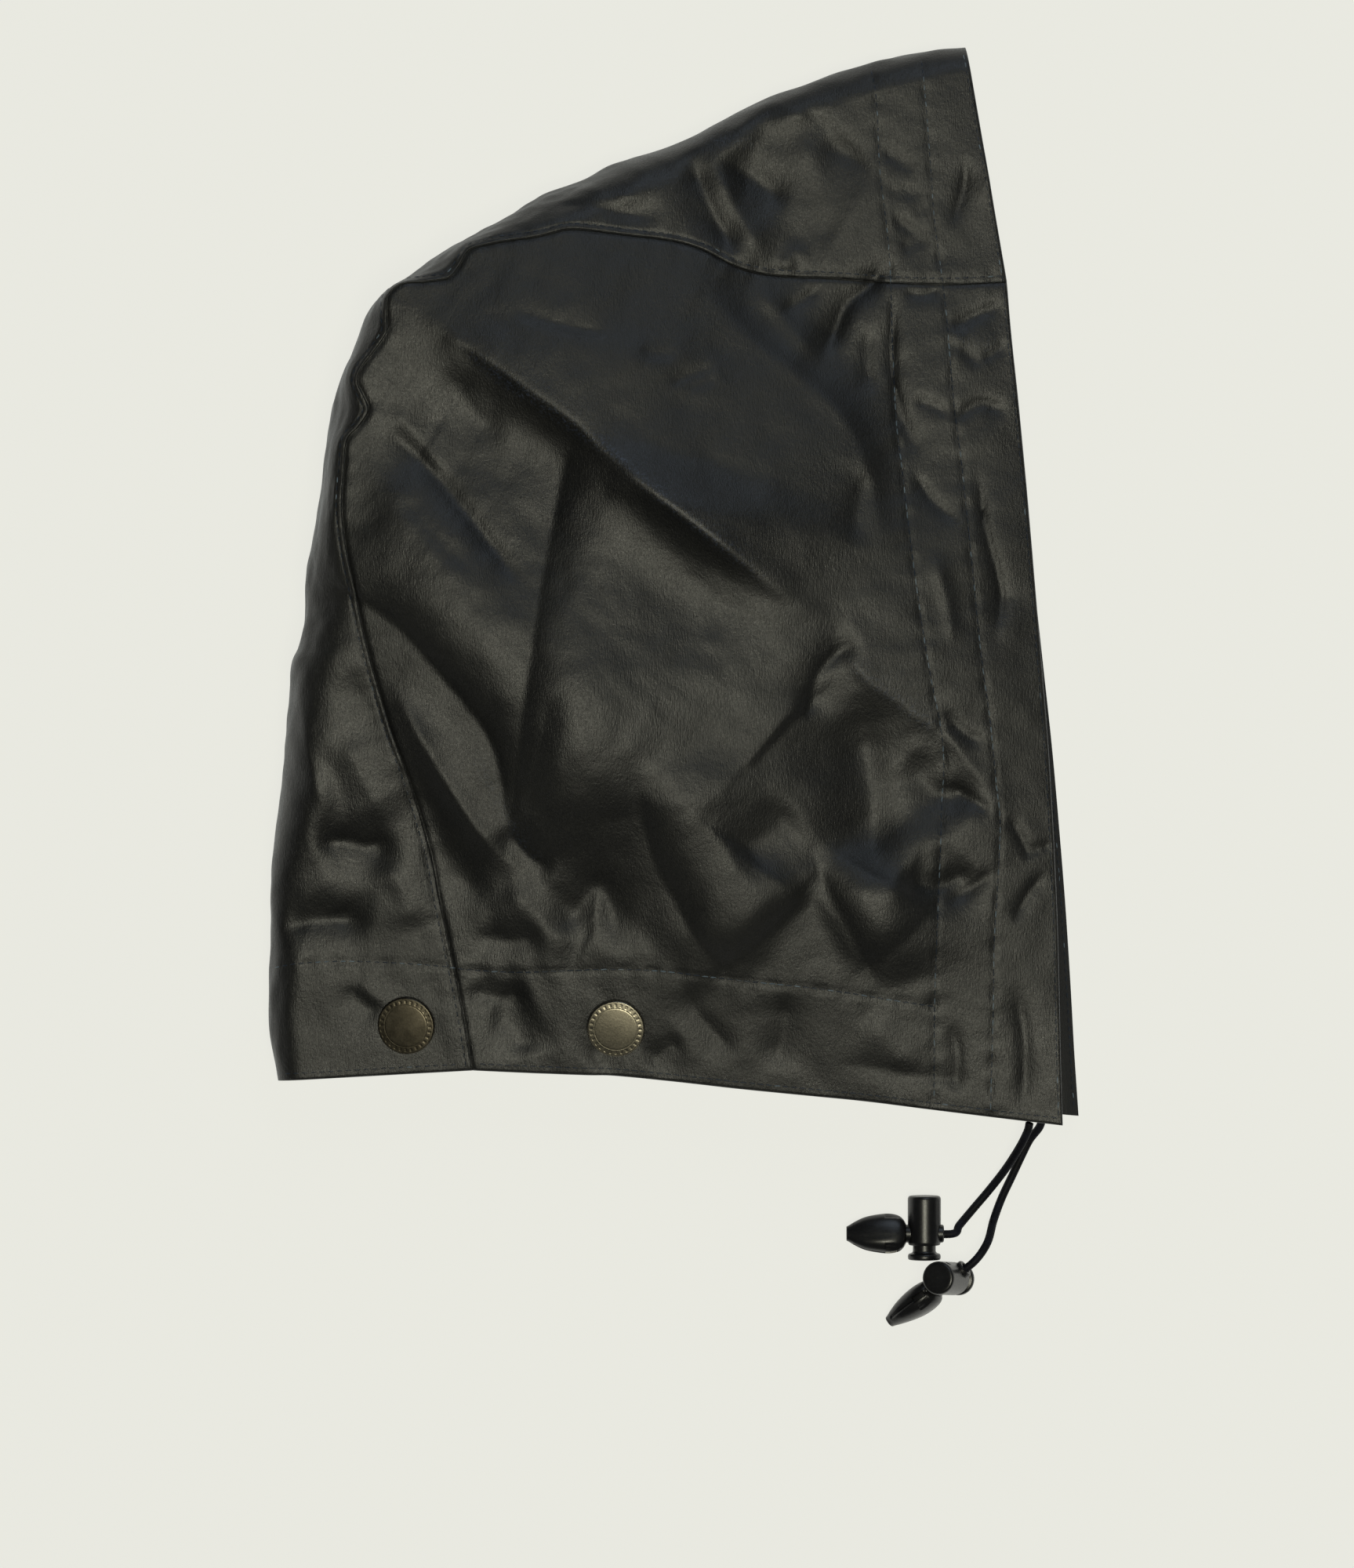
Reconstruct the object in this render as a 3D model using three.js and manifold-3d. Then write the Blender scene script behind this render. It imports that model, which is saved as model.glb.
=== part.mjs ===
// A detachable hood of waxed cotton, lying on its side on a table as it is stored: two side panels, a
// centre panel that folds round the crown between them, a drawcord casing along the face opening, a
// faced neck band with four snap fasteners, and a drawcord with a spring lock and a bell on each end.
// Millimetres, +Z up from the table, +X towards the face opening, +Y towards the peak.
import * as THREE from "three";
import { mergeVertices } from "three/addons/utils/BufferGeometryUtils.js";
import Module from "manifold-3d";

const wasm = await Module();
wasm.setup();

// The hood as it lies: its height from the front corner to the peak, its depth from the back fold to
// the front corner, and how high its upper layer stands off the table.
const HOOD_HEIGHT = 337;
const HOOD_DEPTH = 248;
const LOFT = 42;
const BULGE = 11;

// Cloth: the panels' ply, the facings' ply, and the gaps between plies and along seams.
const CLOTH = 1.2;
const FACING = 1.0;
const PLY_GAP = 0.3;
const SEAM_GAP = 0.3;

// The drawcord casing and the whole front band, measured in from the face edge, and the neck band.
const CASING_WIDTH = 21;
const FRONT_BAND = 39;
const NECK_BAND = 34;

// The lower layer lies a little forward of the upper one and a little short of it at the neck.
const FAR_LEAD = 5.6;
const FAR_RISE = 2.5;

// Drawcord, and the room that the casing leaves round it.
const CORD_RADIUS = 1.25;
const CORD_ROOM = 0.5;
const CORD_SIDES = 8;

// Snap fasteners: a cap on the outside, its post through both plies, and a socket on the inside.
const CAP_RADIUS = 9;
const CAP_RISE = 2.3;
const POST_RADIUS = 2;
const SOCKET_RADIUS = 6.2;
const SOCKET_RISE = 2.6;
const SNAP_FIT = 0.35;
const SNAP_FROM_EDGE = 15.6;
const SNAP_FROM_SEAM = 47.5;
const SNAP_PITCH = 64.6;
const SNAP_SIDES = 12;

// Cord locks: a barrel, closed at one end, and a sprung plunger with a button.
const BARREL_RADIUS = 5.2;
const BARREL_LENGTH = 15.5;
const BARREL_WALL = 1.2;
const BUTTON_THICKNESS = 2.2;
const PLUNGER_TRAVEL = 2;
const NECK_GAP = 2.4;
const SLIDE_FIT = 0.4;
const CORD_FIT = 0.4;
const CORD_HOLE_HEIGHT = 8.2;
const COLLAR_RISE = 0.9;
const LOCK_SIDES = 14;
const TABLE_GAP = 0.3;

// Cord ends: a flattened bell with a window on each narrow side.
const BELL_LENGTH = 18.8;
const BELL_WIDTH = 12.6;
const BELL_THICKNESS = 9;
const BELL_BORE_DEPTH = 4.5;
const BELL_ROLL = -18;
const WINDOW = { from: 0.14, length: 4.3, width: 2.2, depth: 1.2 };

// A short table: one string of column names, then one row of numbers for each line.
const table = (columns, ...rows) =>
  rows.map((row) =>
    Object.fromEntries(columns.split(" ").map((name, i) => [name, row[i]])),
  );

// Plan lines, from front to back along the hood, as shares of its depth (x) and height (y).
const FOLD_LINE = table(
  "x y",
  [0.878, 1.0],
  [0.752, 0.983],
  [0.634, 0.954],
  [0.516, 0.911],
  [0.398, 0.876],
  [0.28, 0.831],
  [0.201, 0.797],
  [0.144, 0.765],
  [0.107, 0.718],
  [0.071, 0.609],
  [0.045, 0.468],
  [0.023, 0.37],
  [0.003, 0.24],
  [0.0, 0.135],
  [0.011, 0.041],
);
const NEAR_SEAM = table(
  "x y",
  [0.929, 0.781],
  [0.781, 0.779],
  [0.649, 0.784],
  [0.585, 0.794],
  [0.511, 0.815],
  [0.373, 0.824],
  [0.255, 0.805],
  [0.228, 0.779],
  [0.171, 0.774],
  [0.154, 0.737],
  [0.117, 0.685],
  [0.13, 0.658],
  [0.102, 0.617],
  [0.1, 0.535],
  [0.12, 0.461],
  [0.156, 0.367],
  [0.196, 0.28],
  [0.227, 0.171],
  [0.255, 0.051],
);
const FAR_SEAM = table(
  "x y",
  [0.929, 0.781],
  [0.8, 0.772],
  [0.66, 0.768],
  [0.53, 0.762],
  [0.42, 0.752],
  [0.32, 0.732],
  [0.25, 0.7],
  [0.208, 0.645],
  [0.183, 0.57],
  [0.175, 0.47],
  [0.18, 0.36],
  [0.2, 0.25],
  [0.228, 0.15],
  [0.255, 0.058],
);
const FACE_EDGE = table(
  "x y",
  [1.0, 0.0],
  [0.992, 0.2],
  [0.981, 0.345],
  [0.964, 0.504],
  [0.943, 0.674],
  [0.929, 0.781],
);
const NECK_EDGE = table(
  "x y",
  [0.255, 0.051],
  [0.353, 0.049],
  [0.516, 0.041],
  [0.673, 0.028],
  [0.831, 0.015],
  [1.0, 0.0],
);
// The seams' share of length at which the side panels turn their top corner, at the crown.
const CROWN = 0.45;
// The height up the face edge, as a share, above which both layers' face edges lie on each other.
const EDGES_MEET = 0.62;

// Heights of the near seam and of the fold line, and the depth of the rounded fold, as shares of LOFT.
const PANEL_SECTIONS = table(
  "s near nose round",
  [0.0, 0.46, 0.23, 0.23],
  [0.2, 0.66, 0.33, 0.3],
  [0.35, 0.88, 0.44, 0.36],
  [0.45, 1.0, 0.5, 0.4],
  [0.6, 1.0, 0.5, 0.42],
  [0.75, 0.86, 0.42, 0.42],
  [0.9, 0.6, 0.32, 0.3],
  [1.0, 0.47, 0.27, 0.2],
);
const FACE_HEIGHTS = table("v z", [0, 0.41], [0.5, 0.52], [1, 0.46]);
const NECK_HEIGHTS = table("u z", [0, 0.47], [0.45, 0.45], [1, 0.41]);
// How far up the side panels the lower layer is still held off the table by the snap caps.
const LIFT_SPAN = 0.3;

// The main folds of the upper layer, as lines in shares of depth and height. Reach is the half width
// as a share of the depth, and rise, negative for a valley, is a share of LOFT.
const MAIN_FOLDS = table(
  "x0 y0 x1 y1 reach rise",
  [0.22, 0.735, 0.745, 0.442, 0.06, 0.09],
  [0.12, 0.49, 0.31, 0.29, 0.045, -0.13],
  [0.15, 0.44, 0.3, 0.285, 0.03, 0.06],
  [0.15, 0.64, 0.34, 0.48, 0.035, -0.08],
  [0.36, 0.6, 0.31, 0.3, 0.05, -0.09],
  [0.735, 0.43, 0.915, 0.31, 0.035, 0.08],
  [0.515, 0.9, 0.595, 0.8, 0.03, -0.07],
  [0.6, 0.76, 0.77, 0.62, 0.05, -0.06],
  [0.48, 0.28, 0.585, 0.155, 0.04, -0.08],
  [0.585, 0.155, 0.695, 0.21, 0.035, -0.08],
  [0.695, 0.21, 0.8, 0.165, 0.035, -0.07],
  [0.4, 0.36, 0.56, 0.36, 0.12, 0.07],
);

// Grid lines of the panels. Between the bands the far panel keeps every second line.
const SPAN_COLUMNS = 16;
const SPAN_ROWS = 20;
const CASING_LINES = [0.25, 0.5, 0.75, 1];
const NECK_LINES = [1 / 3, 2 / 3, 1];
const HALF_LINES = 6;

// Routes of the drawcord's free ends: x and y from where the near end leaves the hood, z from the table.
const NEAR_CORD = table(
  "x y z",
  [-0.8, -3.4, 13.4],
  [-3.2, -8.6, 10.6],
  [-7.2, -15.4, 6.2],
  [-12.2, -22.2, 3.2],
  [-17.4, -28.4, 2.6],
  [-21.6, -33.2, 4.4],
);
const FAR_CORD = table(
  "x y z",
  [3.6, -2.2, 4.4],
  [0.6, -6.4, 2.4],
  [-1.8, -11.2, 1.7],
  [-4.8, -17.6, 1.6],
  [-8.2, -24.8, 1.9],
  [-10.9, -31.6, 4.6],
  [-13.2, -38.4, 10.2],
);
// Where the locks lie: the middle of the button's face, from the same point as the cords.
const NEAR_LOCK = { x: -32.7, y: -43.9 };
const FAR_LOCK = { x: -21.5, y: -50.2 };
const FAR_LOCK_LEAN = { x: -0.383, y: 0.085 };
const FAR_CORD_HEADING = { x: 0.85, y: 0.53 };

const HALF_TURN = Math.PI;
const QUARTER_TURN = Math.PI / 2;

// Materials
const cloth = (name) =>
  new THREE.MeshStandardMaterial({ name, color: 0x24261f, roughness: 0.55, side: THREE.DoubleSide });
const waxedCotton = cloth("waxed_cotton");
const facingCotton = cloth("facing_cotton");
const antiqueBrass = new THREE.MeshStandardMaterial({
  name: "antique_brass",
  color: 0x6b6454,
  roughness: 0.4,
  metalness: 1,
});
const braid = new THREE.MeshStandardMaterial({ name: "braid", color: 0x0b0d14, roughness: 0.8 });
const blackNylon = new THREE.MeshStandardMaterial({ name: "black_nylon", color: 0x15161a, roughness: 0.35 });

// A smooth curve through a table's values at any place between its first and last rows.
function valueAt(rows, key, name, at) {
  const last = rows.length - 1;
  const i = Math.min(Math.max(rows.findIndex((row) => row[key] > at) - 1, 0), last - 1);
  const from = at >= rows[last][key] ? last - 1 : i;
  const slope = (k) => {
    const [a, b] = [rows[Math.max(k - 1, 0)], rows[Math.min(k + 1, last)]];
    return (b[name] - a[name]) / (b[key] - a[key]);
  };
  const [a, b] = [rows[from], rows[from + 1]];
  const span = b[key] - a[key];
  const t = THREE.MathUtils.clamp((at - a[key]) / span, 0, 1);
  const [t2, t3] = [t * t, t * t * t];
  return (
    (2 * t3 - 3 * t2 + 1) * a[name] +
    (t3 - 2 * t2 + t) * span * slope(from) +
    (3 * t2 - 2 * t3) * b[name] +
    (t3 - t2) * span * slope(from + 1)
  );
}

const inPlan = (row) => new THREE.Vector2(row.x * HOOD_DEPTH, row.y * HOOD_HEIGHT);
function planLine(rows) {
  const line = new THREE.SplineCurve(rows.map(inPlan));
  line.arcLengthDivisions = 600;
  return line;
}
const foldLine = planLine(FOLD_LINE);
const nearSeam = planLine(NEAR_SEAM);
const farSeam = planLine(FAR_SEAM);
const faceEdge = planLine(FACE_EDGE);
const neckEdge = planLine(NECK_EDGE);

// How far the main folds raise the upper layer at a place in plan.
function foldRise(x, y) {
  let rise = 0;
  for (const fold of MAIN_FOLDS) {
    const a = inPlan({ x: fold.x0, y: fold.y0 });
    const along = inPlan({ x: fold.x1, y: fold.y1 }).sub(a);
    const length = along.length();
    along.normalize();
    const to = new THREE.Vector2(x, y).sub(a);
    const share = to.dot(along) / length;
    if (share <= 0 || share >= 1) continue;
    const aside = to.cross(along) / (fold.reach * HOOD_DEPTH);
    rise += fold.rise * LOFT * Math.sin(HALF_TURN * share) * Math.exp(-aside * aside);
  }
  return rise;
}

// The table's snap caps hold the lower layer's neck band up by this much, v being 0 at the neck edge.
const CAP_LIFT = CAP_RISE + SNAP_FIT + TABLE_GAP;
const farLift = (v) => CAP_LIFT * (1 - THREE.MathUtils.smoothstep(v, LIFT_SPAN / 3, LIFT_SPAN));

const seamRow = (s) => (s > CROWN ? (1 - s) / (1 - CROWN) : 1);

// A point of a four-sided patch that fills its four edge curves.
function patchPoint(edges, u, v) {
  const sum = (...terms) =>
    terms.reduce((total, [point, share]) => total.addScaledVector(point, share), new THREE.Vector3());
  return sum(
    [edges.back(v), 1 - u],
    [edges.face(v), u],
    [edges.neck(u), 1 - v],
    [edges.top(u), v],
    [edges.neck(0), -(1 - u) * (1 - v)],
    [edges.neck(1), -u * (1 - v)],
    [edges.top(0), -(1 - u) * v],
    [edges.top(1), -u * v],
  );
}

const raised = (plan, z) => new THREE.Vector3(plan.x, plan.y, z);
const nearSeamPoint = (s) =>
  raised(nearSeam.getPointAt(s), LOFT * valueAt(PANEL_SECTIONS, "s", "near", s));
const farSeamPoint = (s) => raised(farSeam.getPointAt(s), farLift(seamRow(s)));
const nearEdges = {
  back: (v) => nearSeamPoint(1 - v * (1 - CROWN)),
  top: (u) => nearSeamPoint((1 - u) * CROWN),
  face: (v) => raised(faceEdge.getPointAt(v), LOFT * valueAt(FACE_HEIGHTS, "v", "z", v)),
  neck: (u) => raised(neckEdge.getPointAt(u), LOFT * valueAt(NECK_HEIGHTS, "u", "z", u)),
};
function farFacePoint(v) {
  const plan = faceEdge.getPointAt(v);
  const below = Math.max(0, EDGES_MEET - plan.y / HOOD_HEIGHT) / EDGES_MEET;
  return raised(new THREE.Vector2(plan.x + FAR_LEAD * below ** 1.2, plan.y + FAR_RISE * (1 - v)), farLift(v));
}
const farEdges = {
  back: (v) => farSeamPoint(1 - v * (1 - CROWN)),
  top: (u) => farSeamPoint((1 - u) * CROWN),
  face: farFacePoint,
  neck: (u) => {
    const plan = neckEdge.getPointAt(u);
    return raised(new THREE.Vector2(plan.x + FAR_LEAD * u ** 3, plan.y + FAR_RISE), farLift(0));
  },
};

// The upper side panel, depth below its outer face.
function nearPoint(u, v, depth) {
  const point = patchPoint(nearEdges, u, v);
  point.z += BULGE * 16 * u * (1 - u) * v * (1 - v) + foldRise(point.x, point.y) - depth;
  return point;
}
// The lower side panel, depth above its outer face. It is flattened on the table above its neck band.
function farPoint(u, v, depth) {
  const point = patchPoint(farEdges, u, v);
  point.z = farLift(v) + depth;
  return point;
}

// The centre panel at share s of its length, q running from the near seam (0) round the fold (0.5) to
// the far seam (1): a flat stretch, a quarter ellipse up to the fold line, and the same back below it.
function centrePoint(s, q, depth) {
  const near = q <= 0.5;
  const seam = near ? nearSeamPoint(s) : farSeamPoint(s);
  const fold = raised(foldLine.getPointAt(s), LOFT * valueAt(PANEL_SECTIONS, "s", "nose", s));
  const heading = new THREE.Vector2(fold.x - seam.x, fold.y - seam.y);
  const width = heading.length();
  heading.normalize();
  const rise = seam.z - fold.z;
  const round = Math.min(width, LOFT * valueAt(PANEL_SECTIONS, "s", "round", s));
  const flat = width - round;
  const arc = (QUARTER_TURN * (round + Math.abs(rise))) / 2;
  const turnAt = Math.min(0.5, flat / (flat + arc));
  const p = near ? 2 * q : 2 - 2 * q;
  const angle = (Math.max(0, p - turnAt) / (1 - turnAt)) * QUARTER_TURN;
  const out = p < turnAt ? (flat * p) / turnAt : flat + round * Math.sin(angle);
  const normal = new THREE.Vector2(Math.sin(angle) / round, Math.cos(angle) / rise).normalize();
  const w = out - depth * normal.x;
  const point = new THREE.Vector3(seam.x + heading.x * w, seam.y + heading.y * w, 0);
  const folds = near ? foldRise(seam.x + heading.x * out, seam.y + heading.y * out) * Math.cos(angle) : 0;
  point.z = fold.z + rise * Math.cos(angle) - depth * normal.y + folds;
  return point;
}

// Grid lines of a side panel: its rows of v, and for one row its columns of u.
const panelHeight = neckEdge.getPointAt(0.5).distanceTo(nearSeam.getPointAt(CROWN / 2));
const neckRow = NECK_BAND / panelHeight;
const sideRows = [
  0,
  ...NECK_LINES.map((share) => neckRow * share),
  ...Array.from({ length: SPAN_ROWS }, (_, i) => neckRow + ((1 - neckRow) * (i + 1)) / SPAN_ROWS),
];
const bandInsets = [FRONT_BAND, (FRONT_BAND + CASING_WIDTH) / 2].concat(
  CASING_LINES.toReversed().map((share) => CASING_WIDTH * share),
  0,
);
function rowWidth(v) {
  const [back, face] = [nearEdges.back(v), nearEdges.face(v)];
  return Math.hypot(face.x - back.x, face.y - back.y);
}
const columnAt = (v, inset) => 1 - inset / rowWidth(v);
function sideColumns(v) {
  const bandFrom = columnAt(v, FRONT_BAND);
  const span = Array.from({ length: SPAN_COLUMNS }, (_, i) => (bandFrom * i) / SPAN_COLUMNS);
  return [...span, ...bandInsets.map((inset) => columnAt(v, inset))];
}
const lastColumn = SPAN_COLUMNS + bandInsets.length - 1;
const lastRow = sideRows.length - 1;
const everyIndex = (count) => Array.from({ length: count + 1 }, (_, i) => i);
const farColumns = everyIndex(lastColumn).filter((i) => i >= SPAN_COLUMNS || i % 2 === 0);
const farRows = everyIndex(lastRow).filter((j) => j <= NECK_LINES.length || (lastRow - j) % 2 === 0);

// Stations of the centre panel, at the side panels' own grid lines, and the lines across it.
const stations = [
  ...everyIndex(lastColumn)
    .toReversed()
    .map((i) => ({ s: (1 - sideColumns(1)[i]) * CROWN, shared: farColumns.includes(i) })),
  ...everyIndex(lastRow - 1)
    .toReversed()
    .map((j) => ({ s: 1 - sideRows[j] * (1 - CROWN), shared: farRows.includes(j) })),
];
const acrossLines = everyIndex(2 * HALF_LINES).map((k) => k / (2 * HALF_LINES));

// One closed solid between two sheets of points. Rows and columns turn so that the first one faces out.
function solidBetween(front, back) {
  const [rows, columns] = [front.length, front[0].length];
  const positions = [...front.flat(), ...back.flat()].flatMap((p) => p.toArray());
  const at = (side, i, j) => side * rows * columns + i * columns + j;
  const index = [];
  const quad = (a, b, c, d) => index.push(a, b, c, a, c, d);
  for (let i = 0; i < rows - 1; i++)
    for (let j = 0; j < columns - 1; j++) {
      quad(at(0, i, j), at(0, i + 1, j), at(0, i + 1, j + 1), at(0, i, j + 1));
      quad(at(1, i, j), at(1, i, j + 1), at(1, i + 1, j + 1), at(1, i + 1, j));
    }
  for (let i = 0; i < rows - 1; i++) {
    quad(at(0, i, 0), at(1, i, 0), at(1, i + 1, 0), at(0, i + 1, 0));
    const j = columns - 1;
    quad(at(0, i, j), at(0, i + 1, j), at(1, i + 1, j), at(1, i, j));
  }
  for (let j = 0; j < columns - 1; j++) {
    quad(at(0, 0, j), at(0, 0, j + 1), at(1, 0, j + 1), at(1, 0, j));
    const i = rows - 1;
    quad(at(0, i, j), at(1, i, j), at(1, i, j + 1), at(0, i, j + 1));
  }
  const geometry = new THREE.BufferGeometry();
  geometry.setAttribute("position", new THREE.Float32BufferAttribute(positions, 3));
  geometry.setIndex(index);
  geometry.computeVertexNormals();
  return geometry;
}

// Booleans on closed geometries
function solidOf(geometry) {
  const bare = geometry.clone();
  bare.deleteAttribute("normal");
  bare.deleteAttribute("uv");
  const merged = mergeVertices(bare, 1e-4);
  const mesh = new wasm.Mesh({
    numProp: 3,
    vertProperties: merged.attributes.position.array,
    triVerts: new Uint32Array(merged.index.array),
  });
  return new wasm.Manifold(mesh);
}
function geometryOf(solid) {
  const mesh = solid.getMesh();
  const geometry = new THREE.BufferGeometry();
  geometry.setAttribute("position", new THREE.BufferAttribute(mesh.vertProperties, 3));
  geometry.setIndex(new THREE.BufferAttribute(mesh.triVerts, 1));
  geometry.computeVertexNormals();
  return geometry;
}
const without = (geometry, ...cutters) =>
  geometryOf(cutters.reduce((solid, cutter) => solid.subtract(solidOf(cutter)), solidOf(geometry)));

// The parts of a panel at chosen rows and columns. Lines on a seam stand back by half the seam's gap.
const halfGap = SEAM_GAP / 2;
const offSeam = (u, v) => [Math.max(u, halfGap / rowWidth(v)), Math.min(v, 1 - halfGap / panelHeight)];
function sideSheet(pointAt, rows, columns, depthAt) {
  return columns.map((i) =>
    rows.map((j) => {
      const v = sideRows[j];
      const [u, row] = offSeam(sideColumns(v)[i], v);
      return pointAt(u, row, depthAt(i));
    }),
  );
}

const allRows = everyIndex(lastRow);
const allColumns = everyIndex(lastColumn);
const outerFace = () => 0;
const innerFace = () => CLOTH;
const nearPanel = solidBetween(
  sideSheet(nearPoint, allRows, allColumns, outerFace),
  sideSheet(nearPoint, allRows, allColumns, innerFace),
);
const farPanel = solidBetween(
  sideSheet(farPoint, farRows, farColumns, innerFace),
  sideSheet(farPoint, farRows, farColumns, outerFace),
);

// The centre panel stands back from both seams. Where the far panel has no grid line, its far edge
// runs straight between the lines that it has.
function centreSheet(from, to, depthAt) {
  const sheet = stations.slice(from, to + 1).map(({ s }, k) =>
    acrossLines.map((q) => {
      const point = centrePoint(s, q, depthAt(from + k));
      const seam = q === 0 ? nearSeamPoint(s) : q === 1 ? farSeamPoint(s) : null;
      if (!seam) return point;
      const outward = raised(foldLine.getPointAt(s), 0).sub(seam.setZ(0)).normalize();
      return point.addScaledVector(outward, halfGap);
    }),
  );
  const edge = acrossLines.length - 1;
  for (let k = 1; k < sheet.length - 1; k++)
    if (!stations[from + k].shared) sheet[k][edge].lerpVectors(sheet[k - 1][edge], sheet[k + 1][edge], 0.5);
  return sheet;
}
const lastStation = stations.length - 1;
const centrePanel = solidBetween(
  centreSheet(0, lastStation, innerFace),
  centreSheet(0, lastStation, outerFace),
);

// The casing's inner ply hangs off the outer one to make the cord's tunnel: how deep it lies at each
// of the band's lines, which are counted from the band's inner edge to the face edge.
const plyDepth = CLOTH + PLY_GAP;
const cordDepth = CLOTH + CORD_ROOM + CORD_RADIUS;
const tunnelDepth = CLOTH + 2 * CORD_ROOM + 2 * CORD_RADIUS - plyDepth;
const TUNNEL_SHAPE = [0, 0, 0, 0.8, 1, 0.8, 0];
const casingDepth = (line) => plyDepth + tunnelDepth * TUNNEL_SHAPE[line];
const bandColumns = allColumns.slice(SPAN_COLUMNS);
const cordLine = TUNNEL_SHAPE.indexOf(1);
const casingFace = (ply) => (i) => casingDepth(i - SPAN_COLUMNS) + ply;
const casingNear = solidBetween(
  sideSheet(nearPoint, allRows, bandColumns, casingFace(0)),
  sideSheet(nearPoint, allRows, bandColumns, casingFace(FACING)),
);
const casingFar = solidBetween(
  sideSheet(farPoint, farRows, bandColumns, casingFace(FACING)),
  sideSheet(farPoint, farRows, bandColumns, casingFace(0)),
);
const stationFace = (ply) => (k) => casingDepth(bandInsets.length - 1 - k) + ply;
const casingTop = solidBetween(
  centreSheet(0, bandInsets.length - 1, stationFace(FACING)),
  centreSheet(0, bandInsets.length - 1, stationFace(0)),
);

// The neck band's facing, from the casing back to the seam, and across the centre panel.
const neckRows = allRows.slice(0, NECK_LINES.length + 1);
function neckSheet(pointAt, columns, depth) {
  return columns.map((i) =>
    neckRows.map((j) => {
      const v = sideRows[j];
      const inset = FRONT_BAND + SEAM_GAP;
      const u = Math.min(offSeam(sideColumns(v)[i], v)[0], columnAt(v, inset));
      return pointAt(u, v, depth);
    }),
  );
}
const spanColumns = allColumns.slice(0, SPAN_COLUMNS + 1);
const farSpanColumns = farColumns.filter((i) => i <= SPAN_COLUMNS);
const neckFacingNear = solidBetween(
  neckSheet(nearPoint, spanColumns, plyDepth),
  neckSheet(nearPoint, spanColumns, plyDepth + FACING),
);
const neckFacingFar = solidBetween(
  neckSheet(farPoint, farSpanColumns, plyDepth + FACING),
  neckSheet(farPoint, farSpanColumns, plyDepth),
);
const neckStation = lastStation - NECK_LINES.length;
const neckFacingBack = solidBetween(
  centreSheet(neckStation, lastStation, () => plyDepth + FACING),
  centreSheet(neckStation, lastStation, () => plyDepth),
);

// Snap fasteners. A place is a point of the outer face with its outward normal as the local Z.
function placeOn(pointAt, a, b, up) {
  const step = 1e-3;
  const point = pointAt(a, b, 0);
  const alongA = pointAt(a + step, b, 0).sub(point);
  const alongB = pointAt(a, b + step, 0).sub(point);
  const normal = alongA.cross(alongB).normalize();
  if (normal.z * up < 0) normal.negate();
  const turn = new THREE.Quaternion().setFromUnitVectors(new THREE.Vector3(0, 0, 1), normal);
  return new THREE.Matrix4().compose(point, turn, new THREE.Vector3(1, 1, 1));
}
const snapRow = SNAP_FROM_EDGE / panelHeight;
const snapColumn = SNAP_FROM_SEAM / rowWidth(0);
const snapStation = 1 - SNAP_FROM_EDGE / nearSeam.getLength();
function acrossAt(s, reach, nearSide) {
  const seam = (nearSide ? nearSeam : farSeam).getPointAt(s);
  const lines = everyIndex(200).map((k) => (nearSide ? k / 400 : 1 - k / 400));
  return lines.find((q) => {
    const point = centrePoint(s, q, 0);
    return Math.hypot(point.x - seam.x, point.y - seam.y) >= reach;
  });
}
const snapReach = SNAP_PITCH - SNAP_FROM_SEAM;
const snapPlaces = {
  near_front: placeOn(nearPoint, snapColumn, snapRow, 1),
  near_back: placeOn(centrePoint, snapStation, acrossAt(snapStation, snapReach, true), 1),
  far_front: placeOn(farPoint, snapColumn, snapRow, -1),
  far_back: placeOn(centrePoint, snapStation, acrossAt(snapStation, snapReach, false), -1),
};

const lathe = (profile, sides) =>
  new THREE.LatheGeometry(profile.map(([r, z]) => new THREE.Vector2(r, z)), sides).rotateX(QUARTER_TURN);
const stackDepth = plyDepth + FACING;
const socketTop = -stackDepth - SNAP_FIT;
const socketFoot = socketTop - SOCKET_RISE;
// A low dome with a rolled rim, and the post that passes through both plies into the socket.
const capProfile = [
  [0, socketFoot + SNAP_FIT],
  [POST_RADIUS, socketFoot + SNAP_FIT],
  [POST_RADIUS, SNAP_FIT],
  [CAP_RADIUS * 0.95, SNAP_FIT],
  [CAP_RADIUS, SNAP_FIT + CAP_RISE * 0.4],
  [CAP_RADIUS * 0.93, SNAP_FIT + CAP_RISE * 0.78],
  [CAP_RADIUS * 0.5, SNAP_FIT + CAP_RISE * 0.95],
  [0, SNAP_FIT + CAP_RISE],
];
const socketBore = POST_RADIUS + SNAP_FIT;
const socketProfile = [
  [socketBore, socketTop],
  [socketBore, socketFoot],
  [SOCKET_RADIUS * 0.72, socketFoot],
  [SOCKET_RADIUS, socketTop - SOCKET_RISE * 0.35],
  [SOCKET_RADIUS, socketTop],
  [socketBore, socketTop],
];
const capGeometry = lathe(capProfile, SNAP_SIDES);
const socketGeometry = lathe(socketProfile, SNAP_SIDES);
function punch(geometry, place) {
  const length = 4 * stackDepth;
  const hole = new THREE.CylinderGeometry(socketBore, socketBore, length, SNAP_SIDES);
  return without(geometry, hole.rotateX(QUARTER_TURN).applyMatrix4(place));
}

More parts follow.
